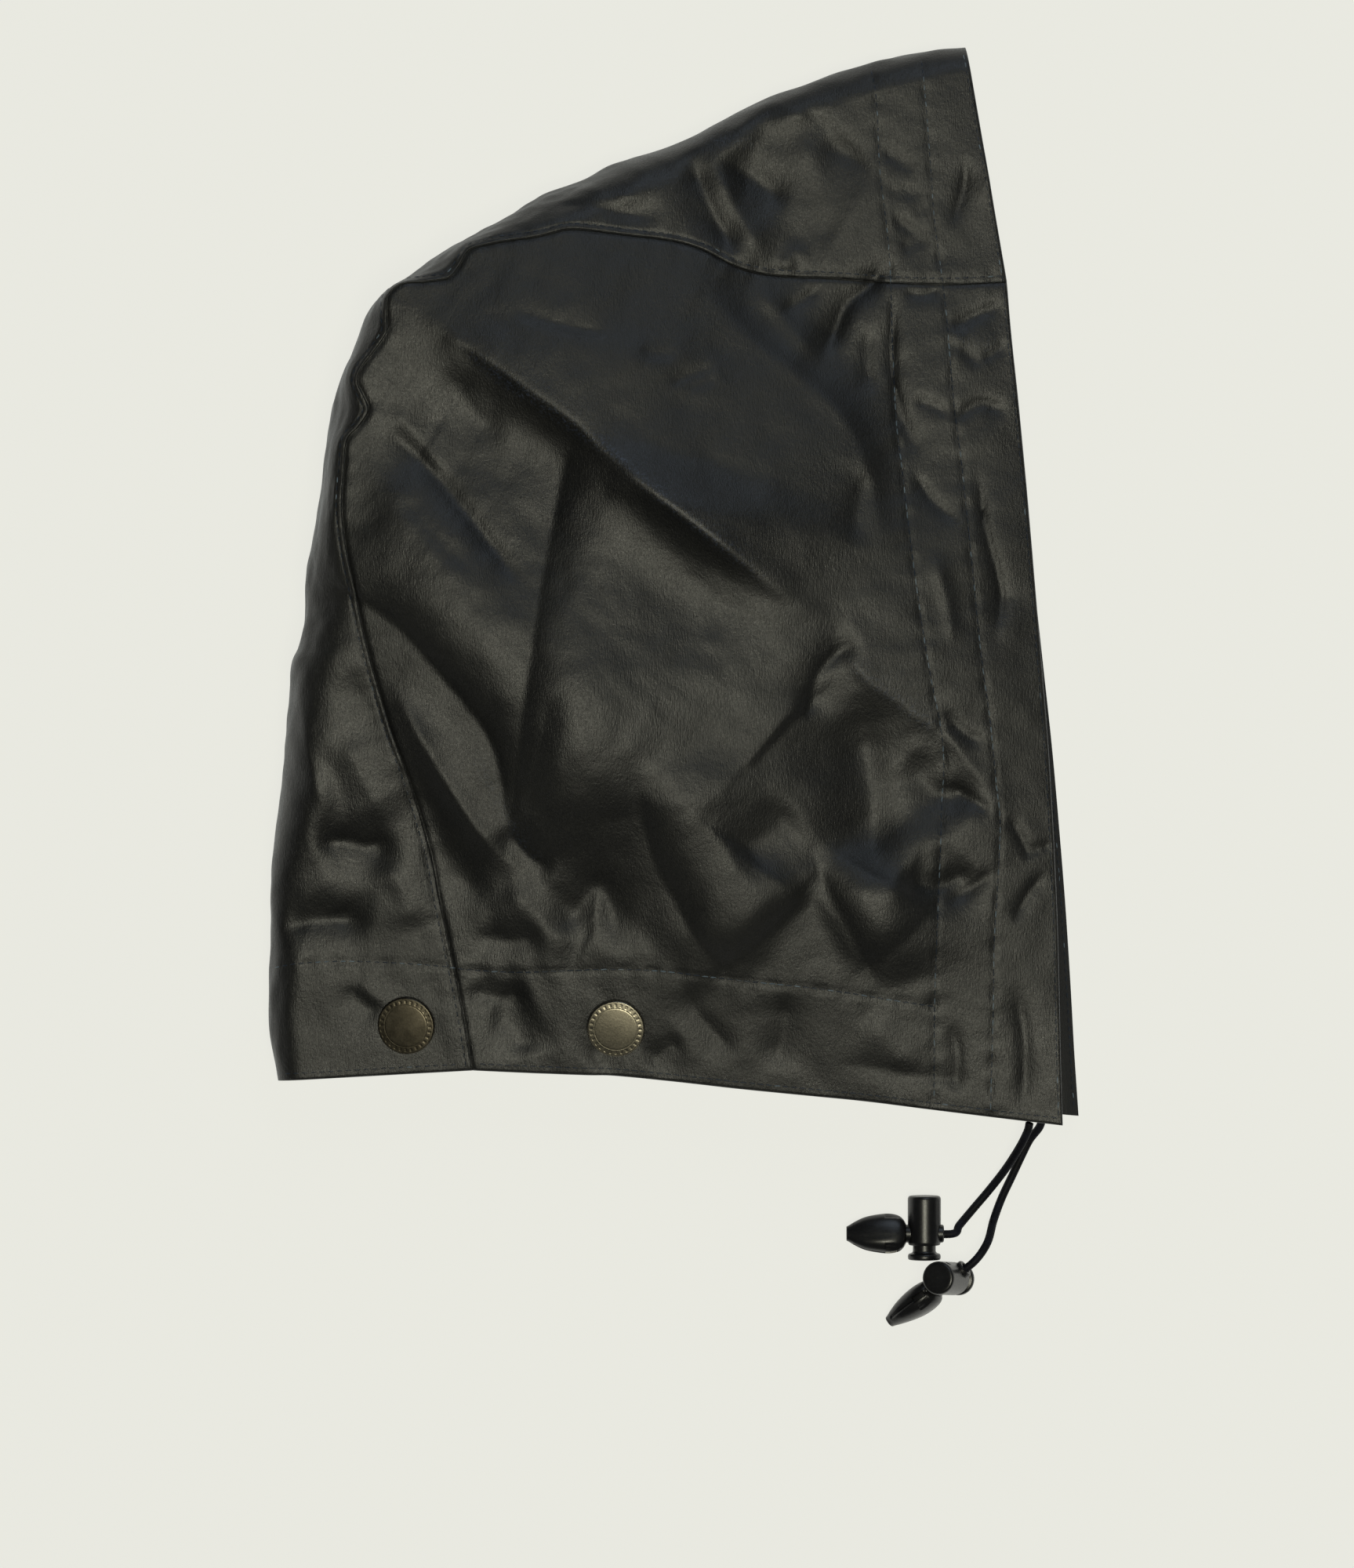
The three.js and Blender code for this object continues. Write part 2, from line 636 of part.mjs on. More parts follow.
// Cord locks and bells, in a frame of their own: Z along the barrel from the button's face, X along
// the cord's hole, with the bell on the -X side.
const lockLength = BUTTON_THICKNESS + NECK_GAP + BARREL_LENGTH;
const barrelFoot = BUTTON_THICKNESS + NECK_GAP;
const boreRadius = BARREL_RADIUS - BARREL_WALL;
const cordHole = CORD_RADIUS + CORD_FIT;
const alongX = (radius, from, to, sides) =>
  new THREE.CylinderGeometry(radius, radius, to - from, sides)
    .rotateZ(QUARTER_TURN)
    .translate((from + to) / 2, 0, CORD_HOLE_HEIGHT);

function barrelGeometry() {
  const edge = BARREL_RADIUS * 0.22;
  const shell = solidOf(
    lathe(
      [
        [boreRadius, barrelFoot],
        [BARREL_RADIUS - edge / 3, barrelFoot],
        [BARREL_RADIUS, barrelFoot + edge / 2],
        [BARREL_RADIUS, lockLength - edge],
        [BARREL_RADIUS - edge, lockLength],
        [0, lockLength],
        [0, lockLength - BARREL_WALL],
        [boreRadius, lockLength - BARREL_WALL],
        [boreRadius, barrelFoot],
      ],
      LOCK_SIDES,
    ),
  );
  const collar = solidOf(alongX(cordHole * 1.7, boreRadius + 0.3, BARREL_RADIUS + COLLAR_RISE, LOCK_SIDES));
  const hole = solidOf(alongX(cordHole, -2 * BARREL_RADIUS, 2 * BARREL_RADIUS, CORD_SIDES));
  return geometryOf(shell.add(collar).subtract(hole));
}

function plungerGeometry() {
  const shaft = boreRadius - SLIDE_FIT;
  const top = lockLength - BARREL_WALL - PLUNGER_TRAVEL - SLIDE_FIT;
  const body = lathe(
    [
      [0, 0],
      [BARREL_RADIUS * 0.9, 0],
      [BARREL_RADIUS, BUTTON_THICKNESS / 2],
      [BARREL_RADIUS * 0.9, BUTTON_THICKNESS],
      [shaft, BUTTON_THICKNESS],
      [shaft, top],
      [0, top],
    ],
    LOCK_SIDES,
  );
  const slotTop = CORD_HOLE_HEIGHT + cordHole;
  const slotFoot = CORD_HOLE_HEIGHT - cordHole - PLUNGER_TRAVEL;
  const slot = new THREE.BoxGeometry(4 * BARREL_RADIUS, 2 * cordHole, slotTop - slotFoot);
  return without(body, slot.translate(0, 0, (slotTop + slotFoot) / 2));
}

// Half widths of the bell from its mouth to its tip, as shares of its length, width and thickness.
const BELL_SECTIONS = table(
  "x wide thick",
  [0, 0.42, 0.5],
  [0.05, 0.7, 0.8],
  [0.14, 0.91, 0.95],
  [0.3, 1, 1],
  [0.5, 0.95, 0.94],
  [0.7, 0.78, 0.76],
  [0.87, 0.52, 0.54],
  [0.92, 0.37, 0.42],
  [1, 0.34, 0.38],
);
const BELL_SIDES = 14;
function bellGeometry() {
  const mouth = BARREL_RADIUS + SLIDE_FIT;
  const ring = (section) =>
    everyIndex(BELL_SIDES - 1).map((k) => {
      const turn = (2 * HALF_TURN * k) / BELL_SIDES;
      return new THREE.Vector3(
        -mouth - BELL_LENGTH * section.x,
        (Math.cos(turn) * BELL_THICKNESS * section.thick) / 2,
        (Math.sin(turn) * BELL_WIDTH * section.wide) / 2,
      );
    });
  const rings = BELL_SECTIONS.map(ring);
  const positions = rings.flat().flatMap((p) => p.toArray());
  const at = (i, k) => i * BELL_SIDES + (k % BELL_SIDES);
  const index = [];
  for (let i = 0; i < rings.length - 1; i++)
    for (let k = 0; k < BELL_SIDES; k++) {
      index.push(at(i, k), at(i + 1, k), at(i, k + 1));
      index.push(at(i, k + 1), at(i + 1, k), at(i + 1, k + 1));
    }
  for (let k = 1; k < BELL_SIDES - 1; k++) {
    index.push(at(0, 0), at(0, k), at(0, k + 1));
    index.push(at(rings.length - 1, 0), at(rings.length - 1, k + 1), at(rings.length - 1, k));
  }
  const body = new THREE.BufferGeometry();
  body.setAttribute("position", new THREE.Float32BufferAttribute(positions, 3));
  body.setIndex(index);
  const bore = new THREE.CylinderGeometry(cordHole, cordHole, 2 * BELL_BORE_DEPTH, CORD_SIDES);
  const windows = [1, -1].map((side) =>
    new THREE.BoxGeometry(WINDOW.length, WINDOW.width, 2 * WINDOW.depth).translate(
      -mouth - BELL_LENGTH * WINDOW.from - WINDOW.length / 2,
      0,
      (side * BELL_WIDTH) / 2,
    ),
  );
  return without(body, bore.rotateZ(QUARTER_TURN).translate(-mouth, 0, 0), ...windows);
}

// The hood
const part = new THREE.Group();
const hood = new THREE.Group();
const cords = new THREE.Group();
part.add(hood, cords);
function add(parent, name, geometry, material) {
  const mesh = new THREE.Mesh(geometry, material);
  mesh.name = name;
  parent.add(mesh);
  return mesh;
}

add(hood, "side_panel_near", punch(nearPanel, snapPlaces.near_front), waxedCotton);
add(hood, "side_panel_far", punch(farPanel, snapPlaces.far_front), waxedCotton);
const punchBoth = (geometry) => punch(punch(geometry, snapPlaces.near_back), snapPlaces.far_back);
add(hood, "centre_panel", punchBoth(centrePanel), waxedCotton);
add(hood, "casing_near", casingNear, facingCotton);
add(hood, "casing_top", casingTop, facingCotton);
add(hood, "casing_far", casingFar, facingCotton);
add(hood, "neck_facing_near", punch(neckFacingNear, snapPlaces.near_front), facingCotton);
add(hood, "neck_facing_back", punchBoth(neckFacingBack), facingCotton);
add(hood, "neck_facing_far", punch(neckFacingFar, snapPlaces.far_front), facingCotton);
for (const [side, place] of Object.entries(snapPlaces)) {
  for (const [piece, geometry] of Object.entries({ cap: capGeometry, socket: socketGeometry })) {
    const snap = add(hood, `snap_${piece}_${side}`, geometry, antiqueBrass);
    snap.applyMatrix4(place);
  }
}

// The drawcord inside its casing, round the whole face opening from one corner to the other
const hiddenRows = farRows.map((j) => sideRows[j]);
const cordColumn = (v) => columnAt(v, CASING_WIDTH / 2);
const cordStation = stations[bandInsets.length - 1 - cordLine].s;
const hiddenRoute = [
  ...hiddenRows.map((v) => nearPoint(cordColumn(v), v, cordDepth)),
  ...acrossLines.slice(1, -1).map((q) => centrePoint(cordStation, q, cordDepth)),
  ...hiddenRows.toReversed().map((v) => farPoint(cordColumn(v), v, cordDepth)),
];
// A cord's steps fall on the points of its route, so that they are close together only in its bends.
class CordPath extends THREE.CatmullRomCurve3 {
  getUtoTmapping(u) {
    return u;
  }
}
function cordGeometry(points, stepsBetween) {
  const section = new THREE.Shape();
  for (let k = 0; k < CORD_SIDES; k++) {
    const turn = (2 * HALF_TURN * k) / CORD_SIDES;
    const [x, y] = [CORD_RADIUS * Math.cos(turn), CORD_RADIUS * Math.sin(turn)];
    if (k === 0) section.moveTo(x, y);
    else section.lineTo(x, y);
  }
  const extrudePath = new CordPath(points);
  const steps = (points.length - 1) * stepsBetween;
  return new THREE.ExtrudeGeometry(section, { steps, extrudePath, bevelEnabled: false });
}
add(hood, "drawcord_hidden", cordGeometry(hiddenRoute, 1), braid);

// The free ends, each through its lock and into its bell
const nearMouth = nearPoint(cordColumn(0), 0, cordDepth);
const farMouth = farPoint(cordColumn(0), 0, cordDepth);
const onTable = (row) => new THREE.Vector3(nearMouth.x + row.x, nearMouth.y + row.y, row.z);

function lockFrame(face, along, cordAlong) {
  const z = along.clone().normalize();
  const x = cordAlong.clone().addScaledVector(z, -cordAlong.dot(z)).normalize();
  const y = new THREE.Vector3().crossVectors(z, x);
  return new THREE.Matrix4().makeBasis(x, y, z).setPosition(face);
}
const leanRise = Math.sqrt(1 - FAR_LOCK_LEAN.x ** 2 - FAR_LOCK_LEAN.y ** 2);
const leanShare = Math.hypot(FAR_LOCK_LEAN.x, FAR_LOCK_LEAN.y);
const nearLockHeight = BARREL_RADIUS + COLLAR_RISE;
const farFaceHeight = BARREL_RADIUS * leanShare + TABLE_GAP;
const lockFrames = {
  near: lockFrame(
    onTable({ ...NEAR_LOCK, z: nearLockHeight }),
    new THREE.Vector3(0, 1, 0),
    new THREE.Vector3(1, 0, 0),
  ),
  far: lockFrame(
    onTable({ ...FAR_LOCK, z: farFaceHeight }),
    new THREE.Vector3(FAR_LOCK_LEAN.x, FAR_LOCK_LEAN.y, leanRise),
    new THREE.Vector3(FAR_CORD_HEADING.x, FAR_CORD_HEADING.y, 0),
  ),
};
const freeRoutes = {
  near: [nearMouth, ...NEAR_CORD.map(onTable)],
  far: [farMouth, ...FAR_CORD.map(onTable)],
};
const FREE_STEPS = 2;
const CORD_LEAD = 3;
const rolls = { near: BELL_ROLL, far: 0 };
for (const side of ["near", "far"]) {
  const frame = lockFrames[side];
  const inLock = (x) => new THREE.Vector3(x, 0, CORD_HOLE_HEIGHT).applyMatrix4(frame);
  const bellDepth = BARREL_RADIUS + SLIDE_FIT + BELL_BORE_DEPTH;
  const ends = [BARREL_RADIUS + COLLAR_RISE + CORD_LEAD, 0, SLIDE_FIT - bellDepth];
  const through = ends.map(inLock);
  const [mouth, next, ...rest] = freeRoutes[side];
  const outward = next.clone().sub(mouth).normalize();
  const start = mouth.clone().addScaledVector(outward, SEAM_GAP + CORD_RADIUS / 4);
  const route = [start, next, ...rest, ...through];
  add(cords, `drawcord_${side}`, cordGeometry(route, FREE_STEPS), braid);
  const roll = new THREE.Matrix4().makeRotationX(THREE.MathUtils.degToRad(rolls[side]));
  const bell = bellGeometry().applyMatrix4(roll).translate(0, 0, CORD_HOLE_HEIGHT);
  const pieces = {
    lock_barrel: barrelGeometry(),
    lock_plunger: plungerGeometry(),
    cord_bell: bell,
  };
  for (const [piece, geometry] of Object.entries(pieces)) {
    const mesh = add(cords, `${piece}_${side}`, geometry, blackNylon);
    mesh.applyMatrix4(frame);
  }
}

// The origin is on the table, under the middle of the hood itself.
part.updateMatrixWorld(true);
const extent = new THREE.Box3().setFromObject(hood);
const middle = extent.getCenter(new THREE.Vector3());
part.position.set(-middle.x, -middle.y, -extent.min.z);

export default part;
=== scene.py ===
"""A detachable hood of waxed cotton, lying on its side on a pale table."""

import math

import bpy
import numpy as np
from mathutils import Matrix, Vector
from mathutils.bvhtree import BVHTree


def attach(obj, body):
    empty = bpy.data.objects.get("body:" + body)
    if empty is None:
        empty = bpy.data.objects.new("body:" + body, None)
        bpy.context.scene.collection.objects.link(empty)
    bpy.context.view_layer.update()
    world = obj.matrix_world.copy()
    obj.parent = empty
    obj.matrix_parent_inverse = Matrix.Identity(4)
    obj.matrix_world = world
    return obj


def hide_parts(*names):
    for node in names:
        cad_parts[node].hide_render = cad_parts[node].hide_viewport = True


# The frame

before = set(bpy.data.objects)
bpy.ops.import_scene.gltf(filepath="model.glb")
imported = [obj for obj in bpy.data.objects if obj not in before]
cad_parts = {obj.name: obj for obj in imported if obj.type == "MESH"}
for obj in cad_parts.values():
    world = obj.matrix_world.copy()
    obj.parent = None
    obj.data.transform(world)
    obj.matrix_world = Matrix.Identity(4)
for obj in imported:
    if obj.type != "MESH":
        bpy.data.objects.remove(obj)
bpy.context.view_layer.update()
MM = 0.001

# The photograph: its frame, its scale at the cloth, and the pixel over the row frame's origin.
PHOTO_SIZE = (1727, 2000)
PX_PER_MM = 4.1
ORIGIN_PX = (861.0, 746.0)


def plan(px):
    """Photo pixels to millimetres in plan, as an array of x, y."""
    px = np.asarray(px, float)
    return np.stack([px[..., 0] - ORIGIN_PX[0], ORIGIN_PX[1] - px[..., 1]], -1) / PX_PER_MM


def add_object(name, data):
    made = bpy.data.objects.new(name, data)
    bpy.context.collection.objects.link(made)
    return made


# The camera

CAMERA_HEIGHT = 2.0
SENSOR = 36.0
CLOTH_LEVEL = 0.022
view_px = np.array(PHOTO_SIZE) / 2
aim = plan(view_px) * MM
camera_data = bpy.data.cameras.new("camera")
camera_data.sensor_width = SENSOR
camera_data.lens = SENSOR * CAMERA_HEIGHT / (PHOTO_SIZE[1] / PX_PER_MM * MM)
camera_data.clip_end = 20
camera = add_object("camera", camera_data)
camera.location = (aim[0], aim[1], CAMERA_HEIGHT + CLOTH_LEVEL)
bpy.context.scene.camera = camera


# Curves

FAR_AWAY = 1e6


def smooth_line(points, per=16):
    """A uniform Catmull-Rom line through points, as a dense polyline."""
    p = np.asarray(points, float)
    ends = np.concatenate([[2 * p[0] - p[1]], p, [2 * p[-1] - p[-2]]])
    t = np.linspace(0, 1, per, endpoint=False)[:, None]
    out = []
    for a, b, c, d in zip(ends, ends[1:], ends[2:], ends[3:]):
        bend, twist = 2 * a - 5 * b + 4 * c - d, 3 * b - a - 3 * c + d
        out.append((2 * b + (c - a) * t + bend * t**2 + twist * t**3) / 2)
    return np.concatenate([*out, p[-1:]])


def arc(line):
    return np.concatenate([[0], np.cumsum(np.linalg.norm(np.diff(line, axis=0), axis=1))])


class Line:
    """A smooth curve read by its share of arc length."""

    def __init__(self, points, per=24):
        self.points = smooth_line(points, per)
        s = arc(self.points)
        self.length = s[-1]
        self.share = s / s[-1]

    def __call__(self, t):
        return np.stack([np.interp(t, self.share, column) for column in self.points.T], -1)


class Curve:
    """A smooth function through (at, value) pairs."""

    def __init__(self, *pairs):
        dense = smooth_line(pairs, 12)
        self.at, self.value = dense[:, 0], dense[:, 1]

    def __call__(self, t):
        return np.interp(t, self.at, self.value)


def smoothstep(x, lo, hi):
    t = np.clip((np.asarray(x, float) - lo) / (hi - lo), 0, 1)
    return t * t * (3 - 2 * t)


def along(path, x, y, reach):
    """Signed distance (left of travel is positive) and arc length of the nearest place on a path."""
    best, at = np.full(x.shape, FAR_AWAY), np.zeros(x.shape)
    lo, hi = path.min(0) - reach, path.max(0) + reach
    near = (x >= lo[0]) & (x <= hi[0]) & (y >= lo[1]) & (y <= hi[1])
    if not near.any():
        return best, at
    px, py = x[near], y[near]
    a, b = path[:-1], path[1:]
    ab = b - a
    length = np.linalg.norm(ab, axis=1)
    start = arc(path)
    dist, sign, where = np.full(px.shape, FAR_AWAY), np.ones(px.shape), np.zeros(px.shape)
    for k in range(len(ab)):
        if length[k] == 0:
            continue
        dx, dy = px - a[k, 0], py - a[k, 1]
        t = np.clip((dx * ab[k, 0] + dy * ab[k, 1]) / length[k] ** 2, 0, 1)
        ex, ey = dx - t * ab[k, 0], dy - t * ab[k, 1]
        d = np.hypot(ex, ey)
        closer = d < dist
        dist = np.where(closer, d, dist)
        side = np.where(ab[k, 0] * dy - ab[k, 1] * dx >= 0, 1.0, -1.0)
        sign = np.where(closer, side, sign)
        where = np.where(closer, start[k] + t * length[k], where)
    best[near] = dist * sign
    at[near] = where
    return best, at


def steps(*spans):
    """Positions from (length, step) spans laid end to end, starting at 0."""
    out = [0.0]
    for length, step in spans:
        count = max(1, round(length / step))
        out += list(out[-1] + length * (np.arange(count) + 1) / count)
    return np.array(out)


# Meshes


def mesh_object(name, points, faces, sharp=50):
    """An object from points in metres."""
    mesh = bpy.data.meshes.new(name)
    mesh.from_pydata(np.asarray(points).tolist(), [], [list(f) for f in faces])
    mesh.polygons.foreach_set("use_smooth", [True] * len(mesh.polygons))
    mesh.set_sharp_from_angle(angle=math.radians(sharp))
    mesh.update()
    return add_object(name, mesh)


def grid_faces(rows, columns, first=0, around=False):
    """Quads over a grid of points; a round grid closes on its first column."""
    i = np.arange(rows - 1)[:, None]
    j = np.arange(columns if around else columns - 1)[None]
    k = (j + 1) % columns
    quads = np.stack([i * columns + j, i * columns + k, (i + 1) * columns + k, (i + 1) * columns + j], -1)
    return (quads.reshape(-1, 4) + first).tolist()


def closed_rings(rings):
    """Points and faces of rings stacked along a form, capped at both ends."""
    rings = np.asarray(rings)
    count, sides = rings.shape[:2]
    faces = grid_faces(count, sides, 0, True)
    faces.append(list(range(sides))[::-1])
    faces.append([(count - 1) * sides + k for k in range(sides)])
    return rings.reshape(-1, 3), faces


pieces, piece_slots = {}, {}


def keep(obj, slot, *nodes, body="hood"):
    """A finished piece: it rides on its body, takes its slot's finish and stands for its nodes."""
    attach(obj, body)
    piece_slots[obj.name] = slot
    if nodes:
        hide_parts(*nodes)
    pieces[obj.name] = obj
    return obj


def joined(name, parts, sharp=50):
    """One object from several (points in mm, faces) parts."""
    points, faces, first = [], [], 0
    for part_points, part_faces in parts:
        points.append(np.asarray(part_points, float))
        faces += [[v + first for v in f] for f in part_faces]
        first += len(part_points)
    return mesh_object(name, np.concatenate(points) * MM, faces, sharp)


# The free ends of the drawcord

CORD_RADIUS = 1.25
CORD_SIDES = 28
CORD_STEP = 0.33
BRAID_DEPTH = 0.11
BRAID_STRANDS = 4
BRAID_PITCH = 7.5
BRAID_ROUNDNESS = 0.7
BRAID_SWELL = 1.4

# Millimetres, as in the solids: out of the tunnel's mouth, over the table and through the lock.
NEAR_CORD = [
    (110.720, -167.801, 14.270), (110.055, -170.630, 13.4), (107.655, -175.830, 10.6),
    (103.655, -182.630, 6.2), (98.655, -189.430, 3.2), (93.455, -195.630, 2.6),
    (89.255, -200.430, 4.4), (87.255, -202.930, 6.1), (78.155, -202.930, 6.1), (68.455, -202.930, 6.1),
]  # fmt: skip
FAR_CORD = [
    (115.423, -165.308, 5.718), (114.455, -169.430, 4.4), (111.455, -173.630, 2.4),
    (109.055, -178.430, 1.7), (106.055, -184.830, 1.6), (102.655, -192.030, 1.9),
    (99.955, -198.830, 4.6), (97.655, -205.630, 10.2), (93.241, -211.492, 12.324),
    (86.214, -216.733, 9.883), (78.724, -222.320, 7.280),
]  # fmt: skip
CORD_PATH_POINTS = 30


def tube_frames(line):
    """Directions across a line that turn with it and never twist."""
    ahead = np.gradient(line, axis=0)
    ahead /= np.linalg.norm(ahead, axis=1)[:, None]
    side = np.cross(ahead[0], [0, 0, 1.0])
    sides = []
    for a in ahead:
        side = side - a * np.dot(side, a)
        side /= np.linalg.norm(side)
        sides.append(side)
    sides = np.array(sides)
    return ahead, sides, np.cross(ahead, sides)


def tube(centre, side, up, turn, radius, squash=1.0):
    """A closed tube round a centre line, its radius given along it and round it."""
    wide = (radius * np.cos(turn))[..., None] * side[:, None]
    high = (radius * squash * np.sin(turn))[..., None] * up[:, None]
    return closed_rings(centre[:, None] + wide + high)


def full_turn(sides):
    return np.linspace(0, 2 * math.pi, sides, endpoint=False)


def braided_cord(points):
    """A cord along its points, its strands winding both ways, and its centre line."""
    line = Line(points)
    count = int(line.length / CORD_STEP)
    centre = line(np.linspace(0, 1, count))
    _, side, up = tube_frames(centre)
    turn = full_turn(CORD_SIDES)
    wind = 2 * math.pi * np.linspace(0, line.length, count)[:, None] / BRAID_PITCH
    strand = lambda angle: np.abs(np.sin(BRAID_STRANDS * angle)) ** BRAID_ROUNDNESS
    over = np.maximum(strand(turn + wind), strand(turn - wind))
    radius = CORD_RADIUS + BRAID_DEPTH * (BRAID_SWELL * over - 1)
    return tube(centre, side, up, turn, radius), line


cord_lines = {}
for end, points in (("near", NEAR_CORD), ("far", FAR_CORD)):
    shape, cord_lines[end] = braided_cord(points)
    keep(joined("braided_cord_" + end, [shape]), "braid", "drawcord_" + end)

# Cord locks and bells

BARREL_RADIUS = 5.2
BARREL_FOOT = 4.6
LOCK_LENGTH = 20.1
BARREL_WALL = 1.2
BUTTON_THICKNESS = 2.2
CORD_HOLE_HEIGHT = 8.2
CORD_HOLE = 1.65
COLLAR_REACH = 0.9
COLLAR_BITE = 0.1
SLIDE_FIT = 0.4
TRAVEL = 2.0
SLOT_TURN = math.pi / 6
SLOT_WIDTH = 1.5
SLOT_HEIGHT = 1.6
SLOT_DEPTH = 0.5
SLOT_FROM_END = 3.0
LOCK_SIDES = 72
COLLAR_SIDES = 40
BELL_LENGTH = 18.8
BELL_WIDTH = 12.6
BELL_THICKNESS = 9.0
BELL_SIDES = 96
BELL_POWER = 0.86
BELL_SWELL = 0.35
SEAM_DEPTH = 0.7
WINDOW_MIDDLE = 4.8
WINDOW_LENGTH = 4.3
WINDOW_WIDTH = 2.2
WINDOW_DEPTH = 1.2
BELL_SEAM_WIDTH = 0.42
BELL_SEAM_SPAN = (1.0, 2.2, 16.2, 17.2)
NOTCH_MIDDLE = 4.6
NOTCH_ACROSS = 5.0
NOTCH_DEPTH = 0.10
# Half widths along the bell as shares: place, across its width, across its thickness.
BELL_FORM = [
    (0, 0.42, 0.50), (0.05, 0.70, 0.80), (0.14, 0.91, 0.95), (0.3, 1, 1), (0.5, 0.95, 0.94),
    (0.7, 0.82, 0.78), (0.86, 0.60, 0.58), (0.95, 0.43, 0.45), (1, 0.35, 0.39),
]  # fmt: skip
FAR_LEAN = (-0.383, 0.085)
FAR_AXIS = (*FAR_LEAN, math.sqrt(1 - FAR_LEAN[0] ** 2 - FAR_LEAN[1] ** 2))
# Each lock: its button's middle, the way its cord heads, its barrel's axis, and its bell's roll.
LOCKS = {
    "near": ((78.155, -211.130, 6.1), (1, 0, 0), (0, 1, 0), -18),
    "far": ((89.355, -217.430, 2.340), (0.85, 0.53, 0), FAR_AXIS, 0),
}


def turned(profile, sides, dent=None):
    """A form turned about Z from (radius, height) pairs, from its foot up, with dents pressed in."""
    profile = np.asarray(profile, float)
    turn = full_turn(sides)
    radius = np.broadcast_to(profile[:, :1], (len(profile), sides)).copy()
    height = np.broadcast_to(profile[:, 1:], radius.shape)
    if dent:
        radius -= dent(turn[None], height, radius)
    ring = np.stack([radius * np.cos(turn), radius * np.sin(turn), height], -1)
    return closed_rings(ring)


def rounded(corners, per_corner=5):
    """A profile with each (radius, height, rounding) corner rounded off."""
    out = []
    for k, (r, z, size) in enumerate(corners):
        here = np.array([r, z], float)
        if size == 0 or k in (0, len(corners) - 1):
            out.append(here)
            continue
        before = np.array(corners[k - 1][:2]) - here
        after = np.array(corners[k + 1][:2]) - here
        a = here + before / np.linalg.norm(before) * size
        b = here + after / np.linalg.norm(after) * size
        for t in np.linspace(0, 1, per_corner + 1):
            out.append((1 - t) ** 2 * a + 2 * t * (1 - t) * here + t**2 * b)
    return np.array(out)


def filled(profile, step):
    """Extra places along a profile's long runs, so that dents have points to bend."""
    out = [profile[0]]
    for a, b in zip(profile, profile[1:]):
        count = max(1, int(np.linalg.norm(b - a) / step))
        out += [a + (b - a) * (k + 1) / count for k in range(count)]
    return np.array(out)


def soft_box(x, half, edge):
    return 1 - smoothstep(np.abs(x), half - edge, half)


def place(part, matrix):
    points, faces = part
    points = np.asarray(points)
    return points @ matrix[:3, :3].T + matrix[:3, 3], faces


def collar(side):
    """The boss round the cord's hole, on one side of the barrel."""
    inner, outer = CORD_HOLE, CORD_HOLE * 1.7
    foot = BARREL_RADIUS - BARREL_WALL + COLLAR_BITE
    reach = BARREL_RADIUS + COLLAR_REACH
    profile = [
        (inner, foot), (inner, reach - 0.15), (inner + 0.15, reach), (outer - 0.35, reach),
        (outer, reach - 0.35), (outer + 0.1, foot),
    ]  # fmt: skip
    turn = full_turn(COLLAR_SIDES)
    ring = np.array([[(side * x, r * math.cos(a), r * math.sin(a)) for a in turn] for r, x in profile])
    faces = grid_faces(len(profile), len(turn), 0, True)
    last = (len(profile) - 1) * len(turn)
    for k in range(len(turn)):
        n = (k + 1) % len(turn)
        faces.append([last + k, last + n, n, k])
    return ring.reshape(-1, 3) + [0, 0, CORD_HOLE_HEIGHT], faces


def barrel():
    inner = BARREL_RADIUS - BARREL_WALL
    corners = [
        (0, LOCK_LENGTH - BARREL_WALL, 0), (inner, LOCK_LENGTH - BARREL_WALL, 0), (inner, BARREL_FOOT, 0.15),
        (BARREL_RADIUS - 0.35, BARREL_FOOT, 0.2), (BARREL_RADIUS, BARREL_FOOT + 0.9, 0.35),
        (BARREL_RADIUS, LOCK_LENGTH, 1.2), (0, LOCK_LENGTH, 0),
    ]  # fmt: skip
    profile = filled(rounded(corners, 7), 0.4)

    def slot(turn, height, radius):
        across = soft_box((turn - SLOT_TURN) * BARREL_RADIUS, SLOT_WIDTH / 2, 0.2)
        up = soft_box(height - (LOCK_LENGTH - SLOT_FROM_END), SLOT_HEIGHT / 2, 0.2)
        return SLOT_DEPTH * across * up * (radius > inner + 0.5)

    return [turned(profile, LOCK_SIDES, slot), collar(1), collar(-1)]


def plunger():
    stem = BARREL_RADIUS - BARREL_WALL - SLIDE_FIT
    top = LOCK_LENGTH - BARREL_WALL - TRAVEL - SLIDE_FIT
    corners = [
        (0, 0.25, 0), (3.4, 0.25, 0.5), (3.9, 0, 0.25), (BARREL_RADIUS - 0.15, 0, 0.5),
        (BARREL_RADIUS, BUTTON_THICKNESS * 0.5, 0.4), (BARREL_RADIUS - 0.2, BUTTON_THICKNESS * 0.82, 0.3),
        (stem + 0.3, BUTTON_THICKNESS, 0.2), (stem, BUTTON_THICKNESS + 0.5, 0.2), (stem, top, 0.5),
        (0, top, 0),
    ]  # fmt: skip
    return [turned(rounded(corners, 5), LOCK_SIDES)]


